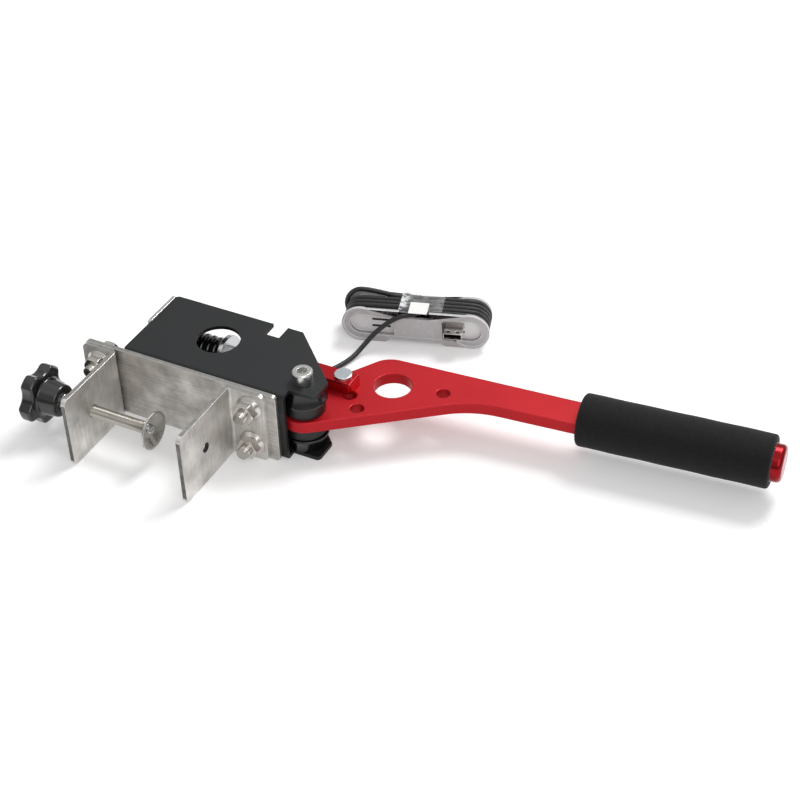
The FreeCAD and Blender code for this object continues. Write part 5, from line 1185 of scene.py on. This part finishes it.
@dataclass
class Linkage(SubAssembly):
    """Clevis, pin, push rod and return spring."""

    rod_start: float = -0.130
    rod_end: float = -0.0215
    rod_y: float = 0.029
    rod_z: float = 0.025
    spring_left: float = -0.1179
    spring_right: float = -0.0751
    wire: float = 0.0044
    coil_radius: float = 0.0083
    turns: int = 8
    end_pitch: float = 0.0044
    steps_in_turn: int = 40

    def build(self) -> None:
        """Dresses the linkage, cuts the rod's thread and winds the spring."""
        dresser, finishes = self.dresser, self.finishes
        dresser.bevelled("clevis", finishes.red_gloss_painted_light, finishes.red_edge_highlight, body="clevis")
        dresser.bevelled("clevis_pin", finishes.pin_head, finishes.zinc, 0.0002, "clevis")
        dresser.dress(finishes.black_steel, "clevis_clip")
        for nut in ("clevis_jam_nut", "seat_nuts", "rod_stop_nut"):
            dresser.bevelled(nut, finishes.zinc, width=0.0002, body="clevis")
        dresser.bevelled("spring_seat", finishes.zinc, body="clevis")
        thread = Thread(Axis.X, self.rod_start, self.rod_end, (self.rod_y, self.rod_z))
        rod = dresser.add("push_rod_thread", thread.surface(), finishes.thread, body="clevis")
        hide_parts("push_rod")
        self.wind_spring()

    def wind_spring(self) -> None:
        """The spring: a tube on a helix whose end turns lie closer."""
        steps = self.turns * self.steps_in_turn + 1
        turn = np.linspace(0.0, self.turns, steps)
        left = self.spring_left + self.wire / 2.0
        right = self.spring_right - self.wire / 2.0
        pitch = (right - left - 2.0 * self.end_pitch) / (self.turns - 2)
        reach = np.minimum(turn, 1.0) * self.end_pitch
        reach += np.clip(np.minimum(turn, self.turns - 1.0) - 1.0, 0.0, None) * pitch
        reach += np.clip(turn - (self.turns - 1.0), 0.0, None) * self.end_pitch
        angle = 2.0 * np.pi * turn
        path = np.stack([reach, self.coil_radius * np.cos(angle), self.coil_radius * np.sin(angle)], -1)
        path += [left, self.rod_y, self.rod_z]
        coil = self.dresser.add("return_spring_coil", tube(path, self.wire / 2.0, 24), self.finishes.spring)
        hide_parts("return_spring")
        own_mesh(coil)


@dataclass
class CableSet(SubAssembly):
    """The cable from the gland over the winder into the plug, and what is on it."""

    diameter: float = 0.0034
    length: float = 1.17
    exit: Point = (-0.048, 0.0104, 0.015)
    lead: tuple[Point, ...] = (
        (-48.0, 17.8, 15.0), (-47.2, 26.4, 12.0), (-44.8, 35.0, 8.4), (-39.0, 45.4, 5.2),
        (-31.2, 56.2, 2.6), (-23.6, 66.0, 1.9), (-18.2, 77.0, 1.9), (-14.8, 88.0, 2.2), (-11.8, 97.6, 6.6),
        (-7.8, 105.4, 12.4), (-1.6, 111.6, 18.2), (5.6, 116.0, 23.0), (13.0, 119.7, 24.2),
    )
    tail: tuple[Point, ...] = (
        (54.6, 129.6, 2.4), (47.8, 136.4, 2.4), (47.8, 146.0, 2.4), (54.6, 152.8, 3.0), (62.6, 153.8, 3.8),
        (70.0, 153.2, 5.6), (76.0, 149.8, 9.6), (76.5, 144.0, 15.4), (76.5, 139.0, 15.4),
    )
    lobes: tuple[float, float] = (14.0, 86.7)
    lobe_z: float = 13.3
    strand_radius: float = 10.9
    first_strand: float = 114.0
    pitch: float = 3.9
    strands: int = 5
    loose_rise: float = 4.4
    winder_face: float = 110.0
    flange_thick: float = 2.0
    lobe_outside: float = 13.3
    lobe_inset: float = 0.5
    back_lobe: float = 12.2
    back_start: float = 15.0
    waist: float = 7.8
    waist_inset: float = 0.3
    front_proud: float = 0.03
    front_top: float = 12.6
    front_foot: float = 13.0
    front_step: float = 10.1
    notch: tuple[float, float] = (25.5, 45.5)
    step: tuple[float, float] = (19.7, 52.7)
    step_slope: float = 3.7
    slots: tuple[tuple[float, float], ...] = ((27.0, 15.4), (27.0, 10.2), (76.5, 10.2))
    slot_size: tuple[float, float] = (6.35, 0.95)
    slot_depths: tuple[float, float] = (4.4, 5.0)
    tray_reach: tuple[float, float] = (1.2, 5.2)
    shell_drawn: float = 3.5
    tape_reach: tuple[float, float] = (112.35, 133.75)
    tape_foot: float = 5.6
    tape_ends: tuple[float, float] = (39.0, 68.0)
    tape_drop: float = 0.15
    tape_corner: float = 1.8
    tape_waves: float = 0.07
    tape_torn: float = 7.0
    film: float = 0.08

    def hank(self) -> np.ndarray:
        """Control points of the winding in the winder's directions, in millimetres. Each strand has a level
        run on top, a half circle of seven points round the right lobe, a run below that moves over by the
        pitch, and a half circle round the left lobe, the last one wider by half the loose rise.

        Returns:
            One point in a row.
        """
        step = math.pi / 7.0
        half = np.arange(7) * step + step / 2.0
        left, right = self.lobes
        top, bottom = self.lobe_z + self.strand_radius, self.lobe_z - self.strand_radius
        reach = self.strand_radius / math.cos(step / 2.0)
        points: list[Point] = [(57.0, self.first_strand, top)]
        for strand in range(1, self.strands + 1):
            after = self.first_strand + strand * self.pitch
            y = after - self.pitch
            points += [(right + reach * math.sin(a), y, self.lobe_z + reach * math.cos(a)) for a in half]
            if strand == self.strands:
                points.append((64.0, y, bottom))
                break
            points += [(62.0, y, bottom), (44.0, y + self.pitch * 0.28, bottom)]
            points.append((30.0, y + self.pitch * 0.8, bottom))
            rise = self.loose_rise / 2.0 if strand == self.strands - 1 else 0.0
            wide = (self.strand_radius + rise) / math.cos(step / 2.0)
            middle = self.lobe_z + rise
            points += [(left - wide * math.sin(a), after, middle - wide * math.cos(a)) for a in half]
            if rise:
                points += [(26.0, after, top + rise), (34.0, after, top)]
            points += [(44.0, after, top), (68.0, after, top)]
        return np.array(points)

    def route(self) -> np.ndarray:
        """Control points of the whole cable in the frame, in metres."""
        lead = np.array(self.lead) / 1000.0
        wound = place_in_winder(np.concatenate([self.hank(), np.array(self.tail)]) / 1000.0)
        return np.concatenate([np.array([self.exit]), lead, wound])

    def build(self) -> None:
        """Lays the cable and dresses the winder, the plug, the tape and the tag."""
        dresser, finishes = self.dresser, self.finishes
        points = self.route()
        curve = bpy.data.curves.new("usb_cable", "CURVE")
        curve.dimensions = "3D"
        spline = curve.splines.new("NURBS")
        spline.points.add(len(points) - 1)
        spline.points.foreach_set("co", np.column_stack([points, np.ones(len(points))]).ravel())
        spline.order_u = 3
        spline.use_endpoint_u = True
        spline.resolution_u = 6
        curve.bevel_depth = self.diameter / 2.0
        curve.bevel_resolution = 4
        curve.use_fill_caps = True
        curve.materials.append(dresser.material(finishes.cable))
        cable = put("usb_cable", curve)
        log.info("%s on %s", cable.name, "frame")
        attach(cable, "frame")
        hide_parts("usb_cable_lead", "usb_cable_hank", "usb_cable_tail")
        # Painted light on the trays' floors and painted shade on their walls.
        trays = ((finishes.frosted_wall_painted_shade, tray_walls_painted_shade), (finishes.frosted_tray_painted_light, tray_floors_painted_light))
        winder = dresser.bevelled(
            "cable_winder", finishes.frosted, finishes.frosted_rim_painted_highlight, 0.00045, zones=trays)
        self.trim_back(winder)
        front, depths = self.winder_front()
        shell = dresser.bevelled("usb_plug_shell", finishes.shell, width=0.0001)
        self.draw_out(shell)
        plug = dresser.bevelled("usb_plug_body", finishes.plug, width=0.0002)
        tape = self.tape()
        tag = dresser.bevelled("cable_tag", finishes.paper, width=0.00005)
        dresser.dress(finishes.plug, "usb_plug_tongue")

    def draw_out(self, shell: Piece) -> None:
        """Draws the plug's shell further out: the points of its front end move along the winder's axis."""
        points = points_of(shell)
        points[points[:, 1] < self.winder_face / 1000.0, 1] -= self.shell_drawn / 1000.0
        move_points(shell, points)

    def trim_back(self, winder: Piece) -> None:
        """Draws the back flange's lobes in to a smaller circle, so that the winding hides them.

        Args:
            winder: The winder's piece.
        """
        points = points_of(winder) * 1000.0
        off = points[:, [0, 2]] - [0.0, self.lobe_z]
        off[:, 0] -= np.clip(points[:, 0], *self.lobes)
        reach = np.linalg.norm(off, axis=1)
        wide = (points[:, 1] > self.winder_face + self.back_start) & (reach > self.back_lobe)
        shift = off[wide] * (self.back_lobe / reach[wide] - 1.0)[:, None]
        points[np.ix_(wide, [0, 2])] += shift
        move_points(winder, points / 1000.0)

    def winder_front(self) -> tuple[Piece, Piece]:
        """The front flange's plate above and below its waist: the upper strip has the notch that the cable
        comes in by, the lower one is stepped up in the middle. Their ends follow the lobes' circles. Dark
        slabs in the trays' slots, painted shade for their depth and the winding behind, are a second piece.

        Returns:
            The front and the slots' painted shade.
        """
        dresser, finishes = self.dresser, self.finishes
        left, right = self.lobes
        z = self.lobe_z
        inner = self.lobe_outside - self.lobe_inset
        top, foot, step = z + self.front_top, z - self.front_foot, z - self.front_step
        notch_start, notch_end = (left + place for place in self.notch)
        step_start, step_end = (left + place for place in self.step)
        up = math.degrees(math.asin((self.waist - self.waist_inset) / inner))
        over = math.degrees(math.asin(self.front_top / self.lobe_outside))
        under = math.degrees(math.asin(self.front_foot / self.lobe_outside))
        notch = [(right, top), (notch_end, top), (notch_end, z + self.waist), (notch_start, z + self.waist),
                 (notch_start, top), (left, top)]
        upper = np.concatenate([
            arc((left, z), inner, over, up), arc((right, z), inner, 180.0 - up, 180.0 - over), notch])
        stepped = [(left, foot), (step_start - self.step_slope, foot), (step_start, step), (step_end, step),
                   (step_end + self.step_slope, foot), (right, foot)]
        lower = np.concatenate([
            arc((left, z), inner, -up, -under), stepped, arc((right, z), inner, 180.0 + under, 180.0 + up)])
        start = self.winder_face - self.front_proud
        end = self.winder_face + self.flange_thick + self.front_proud
        strips = joined([slab(edge[::-1, ::-1], start, end, Axis.Y) for edge in (upper, lower)])
        piece = dresser.add(
            "cable_winder_front", in_metres(strips), finishes.frosted, finishes.frosted_rim_painted_highlight, 0.0004)
        # Dark slabs in the slots: painted shade for their depth and the winding seen through them.
        start, end = (self.winder_face + depth for depth in self.slot_depths)
        fill = joined([slab(self.slot_outline(*slot), start, end, Axis.Y) for slot in self.slots])
        return piece, dresser.add("cable_winder_slot_shade", in_metres(fill), finishes.slot)

    def slot_outline(self, x: float, height: float) -> np.ndarray:
        """Outline of a tray's slot, a little wider than the slot.

        Args:
            x: Its middle along the winder.
            height: Its middle upwards.

        Returns:
            Its corners, as height and place along the winder.
        """
        half_long, half_high = self.slot_size
        return np.array([(height - half_high, x - half_long), (height + half_high, x - half_long),
                         (height + half_high, x + half_long), (height - half_high, x + half_long)])

    def tape(self) -> Piece:
        """Film over the winding: a strip bent once over the back flange, raised by crossing sine waves.

        Returns:
            The film.
        """
        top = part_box("winder_tape")[1].z * 1000.0 - self.tape_drop
        (front, back), foot, corner = self.tape_reach, self.tape_foot, self.tape_corner
        over = np.stack([np.linspace(front, back - corner, 40), np.full(40, top)], -1)
        bend = arc((back - corner, top - corner), corner, 90.0, 0.0, 8)
        down = np.stack([np.full(24, back), np.linspace(top - corner, foot, 24)], -1)
        section = np.concatenate([over, bend[1:-1], down])
        along = np.linspace(*self.tape_ends, 60)
        place = np.linspace(0.0, 1.0, len(section))[:, None]
        lift = self.tape_waves * np.sin(along * 1.9 + place * 9.0) * np.sin(place * 23.0 + along * 0.35)
        across = np.gradient(section, axis=0)
        across /= np.linalg.norm(across, axis=1, keepdims=True)
        outward = np.stack([-across[:, 1], across[:, 0]], -1)
        y = section[:, 0:1] + outward[:, 0:1] * lift
        z = section[:, 1:2] + outward[:, 1:2] * lift
        points = np.stack([np.broadcast_to(along, y.shape), y, z], -1).reshape(-1, 3)
        surface = in_metres((points, grid_faces(len(section), len(along), False)))
        piece = self.dresser.add("winder_tape_film", surface, self.finishes.tape)
        torn = (self.tape_ends[0] + self.tape_torn - along) / self.tape_torn
        crinkle = np.clip(torn, 0.0, 1.0) * np.ones_like(y)
        piece.data.attributes.new("crinkle", "FLOAT", "POINT").data.foreach_set("value", crinkle.ravel())
        thick = piece.modifiers.new("film thickness", "SOLIDIFY")
        thick.thickness = self.film / 1000.0
        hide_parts("winder_tape")
        return piece


@dataclass
class Studio:
    """Floor, world, lamps and camera."""

    camera_place: Point = (0.46107, -0.72917, 0.72521)
    right: Point = (0.88955744, 0.45597472, -0.02783181)
    up: Point = (-0.26685631, 0.5681244, 0.77847439)
    lens: float = 81.176
    sensor_width: float = 36.0
    sight: float = 20.0
    target: Point = (0.05, 0.03, 0.02)
    lamps: tuple[tuple[str, Point, float, float], ...] = (
        ("key", (0.30, 1.05, 1.45), 22.0, 0.7), ("fill", (0.9, -1.0, 1.1), 7.0, 1.2),
    )
    base_light: float = 0.5
    floor_size: float = 6.0
    floor_colour: Colour = (0.86, 0.86, 0.86)
    floor_lift: float = 0.22
    room_light: tuple[tuple[float, float], ...] = (
        (0.0, 0.35), (0.18, 0.32), (0.4, 0.62), (0.72, 0.6), (0.85, 1.1), (1.0, 1.1),
    )

    def build(self) -> None:
        """Sets up everything round the object."""
        self.set_camera()
        self.set_world()
        self.lay_floor()
        for name, place, watts, size in self.lamps:
            self.hang_lamp(name, place, watts, size)

    def set_camera(self) -> None:
        """Camera at the photograph's place and angle."""
        data = bpy.data.cameras.new("camera")
        data.lens = self.lens
        data.sensor_width = self.sensor_width
        data.sensor_fit = "HORIZONTAL"
        data.clip_end = self.sight
        camera = put("camera", data)
        right, up = Vector(self.right).normalized(), Vector(self.up).normalized()
        back = right.cross(up)
        turn = camera.matrix_world.copy()
        for row in range(3):
            turn[row][0], turn[row][1], turn[row][2] = right[row], up[row], back[row]
            turn[row][3] = self.camera_place[row]
        camera.matrix_world = turn
        bpy.context.scene.camera = camera

    def set_world(self) -> None:
        """White for the camera, a room for reflections, a plain level of light for everything else."""
        world = bpy.data.worlds.new("studio")
        world.use_nodes = True
        bpy.context.scene.world = world
        nodes = Nodes(world.node_tree)
        inputs = {"Factor": nodes.rays("Is Glossy Ray"), "A": self.base_light, "B": self.room(nodes)}
        level = nodes.node("Mix", inputs, data_type="FLOAT")
        light = nodes.node("Background", {"Color": WHITE, "Strength": level.outputs["Result"]})
        seen = nodes.node("Background", {"Color": WHITE, "Strength": 1.0})
        plain = nodes.rays("Is Camera Ray", "Is Transmission Ray")
        mix = nodes.node("MixShader", {"Fac": plain, 1: light.outputs[0], 2: seen.outputs[0]})
        nodes.node("OutputWorld", {"Surface": mix.outputs[0]})

    def room(self, nodes: Nodes) -> Socket:
        """What shiny pieces mirror: a level of light that changes with the height of the direction, dark
        just above the horizon, even further up, bright overhead.

        Args:
            nodes: The world's nodes.

        Returns:
            The level's socket.
        """
        split = nodes.node("SeparateXYZ", {"Vector": nodes.node("TexCoord").outputs["Generated"]})
        node = nodes.node("ValToRGB", {"Fac": split.outputs["Z"]})
        stops = node.color_ramp.elements
        for position, value in self.room_light:
            stops.new(position).color = (value, value, value, 1.0)
        stops.remove(stops[0])
        return node.outputs["Color"]

    def lay_floor(self) -> None:
        """Pale floor that keeps the shadow and is lifted to white where nothing shades it."""
        half = self.floor_size / 2.0
        mesh = bpy.data.meshes.new("floor")
        corners = [(-half, -half, 0), (half, -half, 0), (half, half, 0), (-half, half, 0)]
        mesh.from_pydata(corners, [], [(0, 1, 2, 3)])
        graph = Graph("pale floor")
        graph.set(roughness=0.9, specular_ior_level=0.1)
        tone = graph.noise(3.0)
        graph.feed("Base Color", graph.blend(tone, self.floor_colour, shade(self.floor_colour, 1.01)))
        seen = graph.rays("Is Camera Ray", "Is Glossy Ray", "Is Transmission Ray")
        strength = graph.combine("MULTIPLY", seen, self.floor_lift)
        lift = graph.node("Emission", {"Color": WHITE, "Strength": strength})
        both = graph.node("AddShader", {0: graph.shader.outputs["BSDF"], 1: lift.outputs[0]})
        graph.link(both.outputs[0], graph.output.inputs["Surface"])
        mesh.materials.append(graph.material)
        floor = put("floor", mesh)

    def hang_lamp(self, name: str, place: Point, watts: float, size: float) -> None:
        """A square soft light that looks at the target.

        Args:
            name: The lamp's name.
            place: Where it hangs.
            watts: Its power.
            size: Length of its side in metres.
        """
        data = bpy.data.lights.new(name, "AREA")
        data.energy = watts
        data.size = size
        lamp = put(name, data)
        lamp.location = place
        lamp.rotation_euler = (Vector(self.target) - Vector(place)).to_track_quat("-Z", "Y").to_euler()


def main() -> None:
    """Builds the studio and every sub-assembly in order."""
    logging.basicConfig(level=logging.INFO, format="%(name)s: %(message)s")
    bpy.context.scene.view_settings.view_transform = "Standard"
    dresser = Dresser()
    finishes = Finishes()
    Studio().build()
    for part in (CableSet(dresser, finishes), Housing(dresser, finishes), Clamp(dresser, finishes),
                 LeverArm(dresser, finishes), Linkage(dresser, finishes)):
        part.build()
        log.info("%s done", type(part).__name__)


if __name__ == "__main__":
    main()
